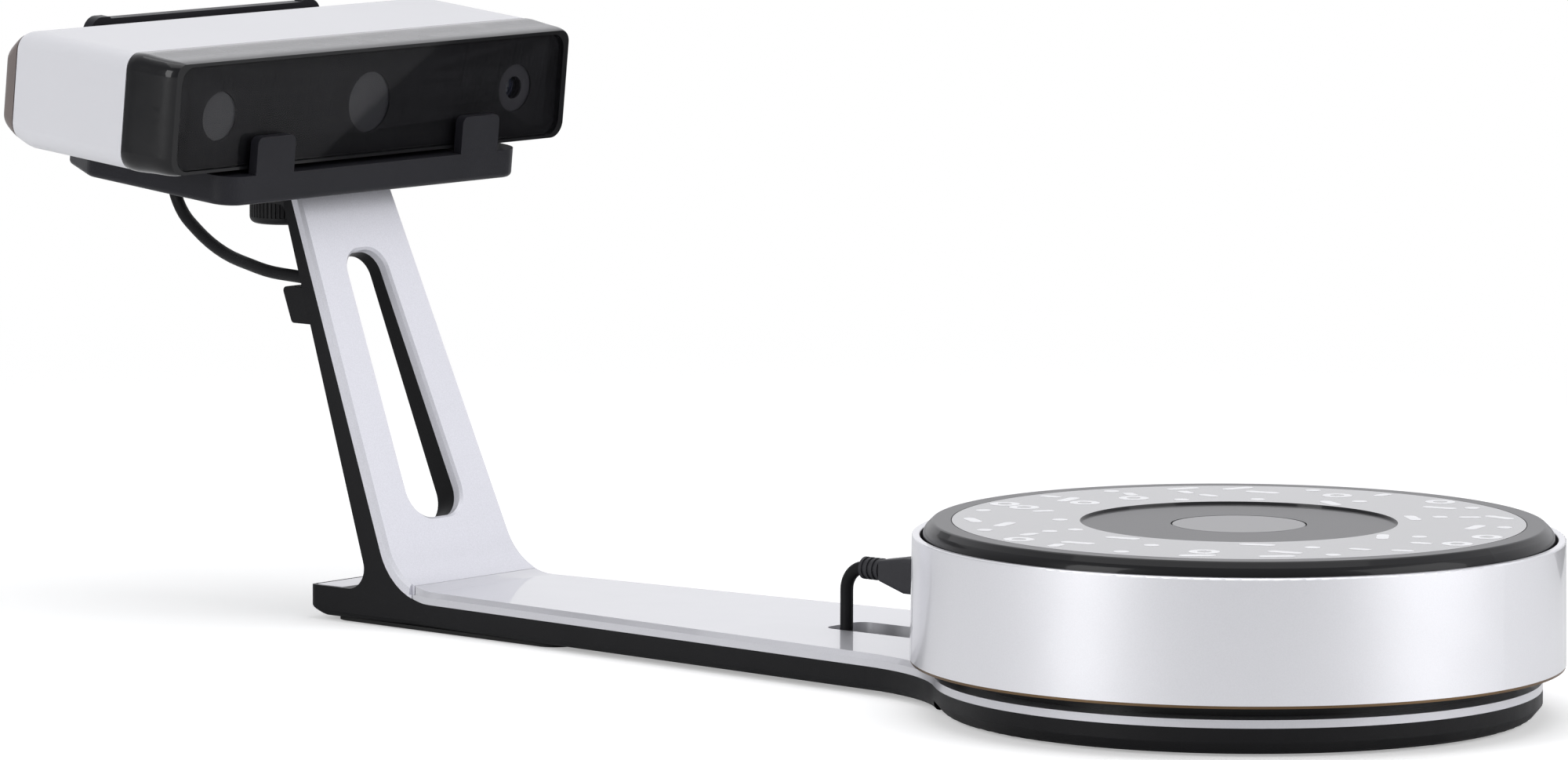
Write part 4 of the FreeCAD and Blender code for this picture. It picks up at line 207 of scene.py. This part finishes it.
# %% [markdown]
# ## Room
# What shiny parts mirror matters as much as what lights them. The room is white behind
# the object and dimmer on the camera's side, as in a studio with a white sweep. Camera
# rays see plain white. A lighting picture would give a richer room, but it couldn't be
# kept in this file and would bring windows that aren't there.

# %% Surroundings
world = bpy.data.worlds.new("room")
world.use_nodes = True
bpy.context.scene.world = world
room = world.node_tree
fill = room.nodes["Background"]
fill.inputs["Color"].default_value = (0.93, 0.94, 0.97, 1)
fill.inputs["Strength"].default_value = 0.44
mirrored = add(room, "ShaderNodeBackground", Color=(0.97, 0.97, 1.0, 1))
seen = add(room, "ShaderNodeBackground", Color=(1, 1, 1, 1), Strength=1.0)
ray = add(room, "ShaderNodeLightPath")
facing = add(room, "ShaderNodeTexCoord")
toward = add(room, "ShaderNodeVectorMath", operation="DOT_PRODUCT")
toward.inputs[1].default_value = (-0.20, 0.98, 0.0)
sweep = add(room, "ShaderNodeMapRange", interpolation_type="SMOOTHSTEP")
set_range(sweep, -0.5, 0.7, 0.42, 1.0)
glossy = add(room, "ShaderNodeMixShader")
choose = add(room, "ShaderNodeMixShader")
room.links.new(facing.outputs["Generated"], toward.inputs[0])
room.links.new(toward.outputs["Value"], sweep.inputs["Value"])
room.links.new(sweep.outputs["Result"], mirrored.inputs["Strength"])
room.links.new(either(room, ray.outputs["Is Glossy Ray"], ray.outputs["Is Transmission Ray"]),
               glossy.inputs[0])
room.links.new(fill.outputs[0], glossy.inputs[1])
room.links.new(mirrored.outputs[0], glossy.inputs[2])
room.links.new(ray.outputs["Is Camera Ray"], choose.inputs[0])
room.links.new(glossy.outputs[0], choose.inputs[1])
room.links.new(seen.outputs[0], choose.inputs[2])
room.links.new(choose.outputs[0], room.nodes["World Output"].inputs["Surface"])
print("room fill", fill.inputs["Strength"].default_value)

# %% [markdown]
# ## Lamps
# Two upright softboxes stand left and right of the object and one hangs above. On the round
# drum each upright box draws one broad bright band, with a calmer band between them. One
# large lamp at the camera would light as much but flatten the drum into a grey strip.


# %% Softboxes
def softbox(name, place, size, power, target=(0.05, 0, 0.06)):
    """Rectangular area lamp aimed at a point."""
    lamp = bpy.data.lights.new(name, "AREA")
    lamp.shape = "RECTANGLE"
    lamp.size, lamp.size_y = size
    lamp.energy = power
    holder = bpy.data.objects.new(name, lamp)
    holder.location = place
    line = Vector(target) - Vector(place)
    holder.rotation_euler = line.to_track_quat("-Z", "Y").to_euler()
    bpy.context.scene.collection.objects.link(holder)


softbox("light_above", (0.0, 0.1, 1.5), (1.7, 1.3), 9)
softbox("light_left", (-0.35, -1.75, 0.75), (0.7, 1.3), 14)
softbox("light_right", (1.75, 0.45, 0.70), (1.3, 1.3), 14)
bpy.context.scene.view_settings.view_transform = "Standard"
print("lamps:", [light.name for light in bpy.data.lights])

# %% [markdown]
# ## Dark flag
# Photographers lay a dark sheet beyond the set so that a window facing it stays dark. The
# one here lies on the floor behind the object and only mirror rays meet it. Its straight
# edge is what shows as a faint slanting line across the head's window. Painting that line
# on the glass would be simpler, but it would stay put when the view turns.

# %% Flag for the window's reflection
flag_plan = [(10, 395), (258, 808), (-60, 1000), (-420, 620)]
flag_lift = 0.001
flag = flat_card("dark_flag", [(platter_axis_x + x * MM, y * MM) for x, y in flag_plan],
                 flag_lift)
flag_finish, tree, shader = new_finish("flag_dark")
shader.inputs["Base Color"].default_value = (0.01, 0.01, 0.01, 1)
shader.inputs["Roughness"].default_value = 1.0
clear = add(tree, "ShaderNodeBsdfTransparent")
path = add(tree, "ShaderNodeLightPath")
pick = add(tree, "ShaderNodeMixShader")
tree.links.new(path.outputs["Is Glossy Ray"], pick.inputs[0])
tree.links.new(clear.outputs[0], pick.inputs[1])
tree.links.new(shader.outputs[0], pick.inputs[2])
tree.links.new(pick.outputs[0], tree.nodes["Material Output"].inputs["Surface"])
flag.data.materials.append(flag_finish)
print("flag corners:", len(flag.data.vertices))

# %% [markdown]
# ## Moulded plastic
# Real moulded covers are never one flat colour: a spark-eroded mould leaves a grain of
# about a third of a millimetre, and the surface shines a little unevenly where hands and
# the mould's flow have polished it. Two noises at those two scales do this: the fine one
# lifts the surface, the broad one shifts colour and roughness. A picture of grain would
# do as well, but noise has no seams and no edge to hide.


# %% Plastic finishes
def vary(tree, scale, detail, low, high):
    """Noise in the object's own space, mapped to a range of values."""
    place = add(tree, "ShaderNodeTexCoord")
    noise = add(tree, "ShaderNodeTexNoise", Scale=scale, Detail=detail)
    spread = add(tree, "ShaderNodeMapRange")
    set_range(spread, 0.3, 0.7, low, high)
    tree.links.new(place.outputs["Object"], noise.inputs["Vector"])
    tree.links.new(noise.outputs["Fac"], spread.inputs["Value"])
    return spread.outputs["Result"]


def grained(tree, shader, scale, height, detail=2.0):
    """Fine lift of the surface from a noise."""
    bump = add(tree, "ShaderNodeBump", Strength=1.0, Distance=height)
    tree.links.new(vary(tree, scale, detail, 0.0, 1.0), bump.inputs["Height"])
    tree.links.new(bump.outputs["Normal"], shader.inputs["Normal"])


def tinted(tree, shader, color, amount, scale=40.0):
    """Base colour that drifts a little between two close tones."""
    mix = add(tree, "ShaderNodeMix", data_type="RGBA")
    dark = [channel * (1 - amount) for channel in color]
    light = [min(1.0, channel * (1 + amount)) for channel in color]
    mix.inputs["A"].default_value = (*dark, 1)
    mix.inputs["B"].default_value = (*light, 1)
    tree.links.new(vary(tree, scale, 3.0, 0.0, 1.0), mix.inputs["Factor"])
    tree.links.new(mix.outputs["Result"], shader.inputs["Base Color"])


def plastic(name, color, rough, grain=2600.0, height=0.00002, drift=0.08, shine=0.25):
    """Moulded plastic with a fine grain and a slightly uneven shine."""
    finish, tree, shader = new_finish(name)
    tinted(tree, shader, color, drift)
    tree.links.new(vary(tree, 60.0, 4.0, rough * 0.88, min(1.0, rough * 1.12)),
                   shader.inputs["Roughness"])
    shader.inputs["Specular IOR Level"].default_value = shine
    grained(tree, shader, grain, height)
    return finish


case_black = plastic("case_black", (0.0085, 0.0085, 0.0095), 0.45, shine=0.15)
cradle_black = plastic("cradle_black", (0.015, 0.015, 0.019), 0.38, shine=0.2)
drum_black = plastic("drum_black", (0.010, 0.010, 0.011), 0.36, grain=3200.0, height=0.00001)
knob_black = plastic("knob_black", (0.009, 0.009, 0.010), 0.45)
rear_brown = plastic("rear_brown", (0.165, 0.138, 0.130), 0.35, shine=0.5)
fan_black = plastic("fan_black", (0.012, 0.012, 0.012), 0.5)
jack_black = plastic("jack_black", (0.010, 0.010, 0.010), 0.35)
nylon = plastic("nylon", (0.72, 0.71, 0.66), 0.45, drift=0.03, shine=0.5)
button_grey = plastic("button_grey", (0.28, 0.28, 0.29), 0.3, shine=0.5)
cable_black = plastic("cable_black", (0.007, 0.007, 0.008), 0.5, grain=1500.0, shine=0.15)
plug_grey = plastic("plug_grey", (0.030, 0.030, 0.034), 0.5, grain=1800.0)
soft_rubber = plastic("soft_rubber", (0.020, 0.020, 0.020), 0.8, grain=900.0, height=0.00006)
print("plastics made:", len(bpy.data.materials))

# %% [markdown]
# ## Silver lacquer
# The arm, the deck and the drum share one paint: fine metal flakes in a pale grey, under
# a clear coat that is polished on the deck and the drum. Bare metal would mirror too
# much, and white plastic too little, so the shader is half metal, with a flake noise that
# tilts the surface by a hair and a separate smooth coat for the sharp reflections.


# %% Lacquer finishes
def lacquer(name, color, rough, coat, flake, metallic=0.5):
    """Flake paint under a clear coat."""
    finish, tree, shader = new_finish(name)
    tinted(tree, shader, color, flake, scale=2200.0)
    shader.inputs["Metallic"].default_value = metallic
    tree.links.new(vary(tree, 45.0, 3.0, rough * 0.92, rough * 1.08),
                   shader.inputs["Roughness"])
    shader.inputs["Coat Weight"].default_value = coat
    shader.inputs["Coat Roughness"].default_value = 0.04
    grained(tree, shader, 2600.0, 0.000004)
    return finish


silver_drum = lacquer("silver_drum", (0.78, 0.78, 0.81), 0.36, 0.6, 0.020, metallic=0.8)
silver_deck = lacquer("silver_deck", (0.63, 0.63, 0.665), 0.42, 0.9, 0.025)
silver_arm = lacquer("silver_arm", (0.71, 0.71, 0.76), 0.46, 0.2, 0.055)
print("lacquers made:", [m.name for m in bpy.data.materials if m.name.startswith("silver")])

# %% [markdown]
# ## Metal and gloss
# Inside, steel, brass, bronze and milled aluminium are plain satin metals. The front of
# the head is polished black plastic, for which a clear coat over black is closer than one
# low roughness: the coat gives the crisp mirror, the base the depth under it.


# %% Metal and gloss finishes
def metal(name, color, rough, grain=1800.0, height=0.000006, drift=0.03):
    """Satin metal with a fine blasted grain."""
    finish, tree, shader = new_finish(name)
    shader.inputs["Metallic"].default_value = 1.0
    tinted(tree, shader, color, drift, scale=20.0)
    tree.links.new(vary(tree, 90.0, 4.0, rough * 0.9, rough * 1.1),
                   shader.inputs["Roughness"])
    grained(tree, shader, grain, height)
    return finish


def gloss(name, color, rough, coat, shine=0.3, peel=0.000002, index=1.4):
    """Polished plastic under a clear coat, with the faintest orange peel."""
    finish, tree, shader = new_finish(name)
    tinted(tree, shader, color, 0.05)
    shader.inputs["Roughness"].default_value = rough
    shader.inputs["Specular IOR Level"].default_value = shine
    shader.inputs["Coat Weight"].default_value = coat
    shader.inputs["Coat Roughness"].default_value = 0.05
    shader.inputs["Coat IOR"].default_value = index
    if peel:
        grained(tree, shader, 180.0, peel)
    return finish


steel_plain = metal("steel_plain", (0.56, 0.56, 0.57), 0.30)
steel_dark = metal("steel_dark", (0.20, 0.20, 0.21), 0.35)
steel_bright = metal("steel_bright", (0.72, 0.72, 0.73), 0.12)
bronze_line = metal("bronze_line", (0.16, 0.105, 0.06), 0.35)
bronze_bush = metal("bronze_bush", (0.62, 0.44, 0.22), 0.35)
brass_plain = metal("brass_plain", (0.78, 0.60, 0.28), 0.3)
aluminium_milled = metal("aluminium_milled", (0.66, 0.66, 0.68), 0.32)
barrel_black = metal("barrel_black", (0.030, 0.030, 0.032), 0.4)
bezel_gloss = gloss("bezel_gloss", (0.005, 0.005, 0.006), 0.35, 1.0, shine=0.1, index=1.3)
marker_gloss = gloss("marker_gloss", (0.035, 0.035, 0.037), 0.20, 1.0, shine=0.1)
platter_satin = gloss("platter_satin", (0.012, 0.012, 0.013), 0.32, 0.25, shine=0.10,
                      peel=0.000001)
cap_satin = gloss("cap_satin", (0.020, 0.020, 0.021), 0.26, 0.4, peel=0.000001)
print("finishes so far:", len(bpy.data.materials))

# %% [markdown]
# ## Painted housing, boards and glass
# The housing of the head is a pale satin white under a soft coat. The window is a thin
# coated pane over a printed black sheet: the pane mirrors about a fifth of what plain
# glass would, and the black comes from the sheet. It is made by letting most of the
# surface be see-through, because a refracting pane would leave the printed sheet, which
# lies right behind it, speckled with badly sampled light.

# %% Painted housing, boards and glass
head_paint, tree, shader = new_finish("head_paint")
tinted(tree, shader, (0.65, 0.65, 0.68), 0.015, scale=15.0)
shader.inputs["Roughness"].default_value = 0.40
shader.inputs["Coat Weight"].default_value = 0.5
shader.inputs["Coat Roughness"].default_value = 0.18
grained(tree, shader, 1500.0, 0.000006)

board_green, tree, shader = new_finish("board_green")
tinted(tree, shader, (0.010, 0.105, 0.045), 0.5, scale=700.0)
shader.inputs["Roughness"].default_value = 0.35
grained(tree, shader, 900.0, 0.00003)

mask_black, tree, shader = new_finish("mask_black")
tinted(tree, shader, (0.014, 0.014, 0.016), 0.1)
shader.inputs["Roughness"].default_value = 0.6
shader.inputs["Specular IOR Level"].default_value = 0.1

window_glass, tree, shader = new_finish("window_glass")
tinted(tree, shader, (0.012, 0.012, 0.014), 0.01)
shader.inputs["Roughness"].default_value = 0.02
shader.inputs["IOR"].default_value = 1.5
shader.inputs["Alpha"].default_value = 0.22

lens_glass, tree, shader = new_finish("lens_glass")
tinted(tree, shader, (0.020, 0.024, 0.045), 0.2)
shader.inputs["Roughness"].default_value = 0.04
shader.inputs["Coat Weight"].default_value = 1.0
shader.inputs["Coat Roughness"].default_value = 0.02
grained(tree, shader, 60.0, 0.000001)
print("glass and boards ready")

# %% [markdown]
# ## Dressing the solids
# Each solid keeps its shape and only changes what its material slots hold. One table
# pairs finishes with solids, so that no solid is forgotten: the loop stops with a plain
# message if a name is missing.

# %% Assign finishes
wear = {
    case_black: ["stand_body", "cable_clip"],
    silver_deck: ["deck_cover", "rear_deck_cover"],
    silver_arm: ["arm_front_cover"],
    silver_drum: ["drum_shell"],
    soft_rubber: ["rear_foot_plate", "rubber_feet", "cradle_pads"],
    steel_plain: ["base_stiffener", "ballast_plate", "spindle", "retaining_clip",
                  "motor_pinion", "drive_motor", "thumb_stud", "thumb_washer"],
    steel_dark: ["stand_screws", "head_screws"],
    steel_bright: ["lower_race", "upper_race", "bearing_balls", "link_socket", "usb_port",
                   "drum_plug_tip"],
    drum_black: ["drum_base"],
    bronze_line: ["drum_trim"],
    platter_satin: ["platter"],
    cap_satin: ["centre_cap"],
    marker_gloss: ["marker_ring"],
    bronze_bush: ["spindle_bush"],
    brass_plain: ["cradle_insert"],
    nylon: ["ball_cage", "ring_gear"],
    board_green: ["turntable_board", "camera_boards", "main_board"],
    bezel_gloss: ["front_bezel"],
    window_glass: ["cover_glass"],
    mask_black: ["window_mask"],
    head_paint: ["head_shell"],
    rear_brown: ["rear_cover"],
    aluminium_milled: ["optics_frame", "heat_sink"],
    barrel_black: ["camera_barrels", "projector_barrel"],
    lens_glass: ["camera_lenses", "projector_lens"],
    fan_black: ["projector_engine", "fan_frame", "fan_rotor"],
    jack_black: ["power_port", "link_port", "button_switch"],
    button_grey: ["power_button"],
    cradle_black: ["cradle"],
    knob_black: ["thumb_knob"],
    cable_black: ["link_cable"],
    plug_grey: ["head_plug", "drum_plug"],
}
dressed = set()
for finish, names in wear.items():
    for name in names:
        solid = nodes[name]
        solid.data.materials.clear()
        solid.data.materials.append(finish)
        dressed.add(name)
bare = sorted(set(nodes) - dressed)
if bare:
    raise RuntimeError("no finish for " + ", ".join(bare))
print("dressed solids:", len(dressed))

# %% [markdown]
# ## Turned details
# Discs, rings and recesses too fine for the solids are all turned shapes. One function
# spins a profile of radius and depth round an axis and closes it, so each of them gets a
# chamfer instead of being a bare disc. Modelling them in CAD would add dozens of nodes
# that do nothing mechanically.


# %% Turning a profile
def detail(name, mesh, finish, body, slot):
    """Object for a detail piece, dressed and tied to its body."""
    piece = bpy.data.objects.new(name, mesh)
    bpy.context.scene.collection.objects.link(piece)
    piece.data.materials.append(finish)
    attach(piece, body)


def turned(profile, place, steps=64):
    """Closed mesh of a profile of (radius, depth) pairs spun round an axis."""
    shape = bmesh.new()
    rings = []
    for step in range(steps):
        angle = 2 * math.pi * step / steps
        rings.append([shape.verts.new(place(depth, radius * math.cos(angle),
                                            radius * math.sin(angle)))
                      for radius, depth in profile])
    count = len(profile)
    for step, ring in enumerate(rings):
        follow = rings[(step + 1) % steps]
        for k in range(count):
            after = (k + 1) % count
            if profile[k][0] + profile[after][0] > 0:
                shape.faces.new([ring[k], follow[k], follow[after], ring[after]])
    bmesh.ops.remove_doubles(shape, verts=shape.verts, dist=1e-7)
    bmesh.ops.recalc_face_normals(shape, faces=shape.faces)
    mesh = bpy.data.meshes.new("turned")
    shape.to_mesh(mesh)
    shape.free()
    return mesh


def ring_profile(outer, inner, front, back, chamfer):
    """Profile of a flat ring, or of a disc when inner is zero, with a chamfered rim."""
    return [(inner, front), (outer - chamfer, front), (outer, front - chamfer), (outer, back),
            (inner, back)]


print("turning ready")

# %% [markdown]
# ## Discs behind the window
# Behind the black printed sheet each optic looks out through a grey filter. The left and
# middle filters hide what is behind them, the right one is a ring round the lens. They
# are polished, so the flag's edge shows in them more strongly than in the coated pane.

# %% Window filters
filter_grey = gloss("filter_grey", (0.042, 0.042, 0.049), 0.25, 1.0, peel=0.0, index=1.5)
filter_pale = gloss("filter_pale", (0.060, 0.059, 0.068), 0.25, 1.0, peel=0.0, index=1.5)
window_spacing = 76.8
filter_front, filter_back, filter_chamfer = -2.75, -3.05, 0.1
filters = (("filter_left", -window_spacing, 9.0, 0.0, filter_grey),
           ("filter_middle", 0.0, 11.2, 0.0, filter_grey),
           ("filter_right", window_spacing, 9.0, 4.0, filter_pale))
for name, u, outer, inner, finish in filters:
    mesh = turned(ring_profile(outer, inner, filter_front, filter_back, filter_chamfer),
                  lambda depth, across, rise, u=u: on_head(depth, u + across, rise))
    detail(name, mesh, finish, "stand", "barrel_black")
print("filters:", len(filters))

# %% [markdown]
# ## Marks on the turntable
# The scanner reads the table's angle from white marks printed on the glossy ring. They
# are laid out here as bars, dots and small rings in four rows, by a rule in whole numbers
# that looks irregular but is the same at every run. They are thin plates of 0.03 mm: a
# texture would need a picture, and marks in the shader would blur at this low angle.


# %% Printed marks
mark_top, mark_low = 0.04, 0.01
mark_rows = ((58.5, 15), (68, 17), (77.5, 20), (87, 23))


def capsule(length, width, steps=8):
    """Outline of a bar with round ends."""
    half = width / 2
    reach = length / 2 - half
    points = []
    for side in (1, -1):
        for step in range(steps + 1):
            angle = math.pi * (step / steps - 0.5) + (0 if side == 1 else math.pi)
            points.append((side * reach + half * math.cos(angle), half * math.sin(angle)))
    return points


def plate(shape, loops, radius, angle, turn):
    """Adds a thin plate at a polar place; a second loop is the outline of its hole."""
    spots = []
    for loop in loops:
        spot = []
        for x, y in loop:
            across = x * math.cos(turn) - y * math.sin(turn)
            along = radius + x * math.sin(turn) + y * math.cos(turn)
            spot.append((
                platter_axis_x + (along * math.cos(angle) - across * math.sin(angle)) * MM,
                (along * math.sin(angle) + across * math.cos(angle)) * MM))
        spots.append(spot)
    tops = [[shape.verts.new((x, y, platter_top + mark_top * MM)) for x, y in spot]
            for spot in spots]
    lows = [[shape.verts.new((x, y, platter_top + mark_low * MM)) for x, y in spot]
            for spot in spots]
    count = len(spots[0])
    if len(spots) == 1:
        shape.faces.new(tops[0])
    for k in range(count):
        after = (k + 1) % count
        if len(spots) == 2:
            shape.faces.new([tops[0][k], tops[0][after], tops[1][after], tops[1][k]])
        for top_loop, low_loop in zip(tops, lows):
            shape.faces.new([top_loop[k], low_loop[k], low_loop[after], top_loop[after]])


mark_white = plastic("mark_white", (0.86, 0.86, 0.88), 0.3, height=0.000002, drift=0.02,
                     shine=0.5)
marks = bmesh.new()
long_bar, short_bar = capsule(12.0, 4.0), capsule(7.6, 3.8)
dot = capsule(5.2, 5.2)
ring_outer, ring_inner = capsule(10.2, 10.2), capsule(4.8, 4.8)
made = 0
for row, (radius, cells) in enumerate(mark_rows):
    for cell in range(cells):
        pick = (cell * 7 + row * 5 + cell * cell) % 11
        angle = 2 * math.pi * (cell + 0.31 * row) / cells + 0.02 * ((cell * 5) % 4)
        if pick in (0, 3, 7):
            plate(marks, [long_bar], radius, angle, 0.3 * ((cell + row) % 5) - 0.6)
        elif pick in (1, 5):
            plate(marks, [dot], radius, angle, 0.0)
        elif pick == 4:
            plate(marks, [ring_outer, ring_inner], radius, angle, 0.0)
        elif pick in (6, 9):
            plate(marks, [short_bar], radius, angle, 0.9 + 0.4 * (cell % 3))
        else:
            continue
        made += 1
bmesh.ops.recalc_face_normals(marks, faces=marks.faces)
mesh = bpy.data.meshes.new("marker_pattern")
marks.to_mesh(mesh)
marks.free()
detail("marker_pattern", mesh, mark_white, "platter", "white_nylon")
print("marks:", made)

# %% [markdown]
# ## Screw heads with painted socket shade, and the button's ring
# Real screws have a drive. A near-black six-sided plate on each head is painted shade: it
# stands in for the shade inside a socket, reads as a socket screw at this size, and costs no
# cut in the solids. The places aren't typed in: a ray from outside finds each head, so the
# plate lies on it whatever the head's depth.


# %% Screw heads with painted socket shade
behind_head = -200
head_screw_u, head_screw_v = 96.0, 8.5
button_u, button_v = 82.0, 2.0


def first_hit(node, start, direction):
    """Where a ray first meets a solid of the frame."""
    hit, spot = nodes[node].ray_cast(start, direction)[:2]
    if not hit:
        raise RuntimeError("the ray misses " + node)
    return spot


def on_back(spot):
    """Placing of a profile that faces backwards at a spot on the head."""
    def place(depth, across, rise):
        return (spot - head_forward * depth * MM + Vector((0, across * MM, 0))
                + head_up * rise * MM)
    return place


# Near-black colour of the six-sided plates: painted shade, standing in for the shade inside each
# screw's socket.
painted_socket_shade = plastic("painted_socket_shade", (0.004, 0.004, 0.004), 0.6, drift=0.1)
socket_shade_profile = [(0.0, 0.03), (1.15, 0.03), (1.3, 0.01), (1.3, -0.2), (0.0, -0.2)]
found = 0
for u in (-head_screw_u, head_screw_u):
    for v in (-head_screw_v, head_screw_v):
        spot = first_hit("head_screws", on_head(behind_head, u, v), head_forward)
        mesh = turned(socket_shade_profile, on_back(spot), steps=6)
        found += 1
        detail("screw_socket_shade_%d" % found, mesh, painted_socket_shade, "stand", "screw_steel")
spot = first_hit("power_button", on_head(behind_head, button_u, button_v), head_forward)
ring_light = plastic("ring_light", (0.62, 0.66, 0.70), 0.35, drift=0.02, shine=0.5)
mesh = turned(ring_profile(2.5, 2.1, 0.03, -0.1, 0.02), on_back(spot))
detail("button_ring", mesh, ring_light, "button", "button_grey")
print("screw recesses:", found)

# %% [markdown]
# ## End
# The dressed model has to keep the solids' box. The last cell only prints a closing line.

# %% Finish
print("dressing done")
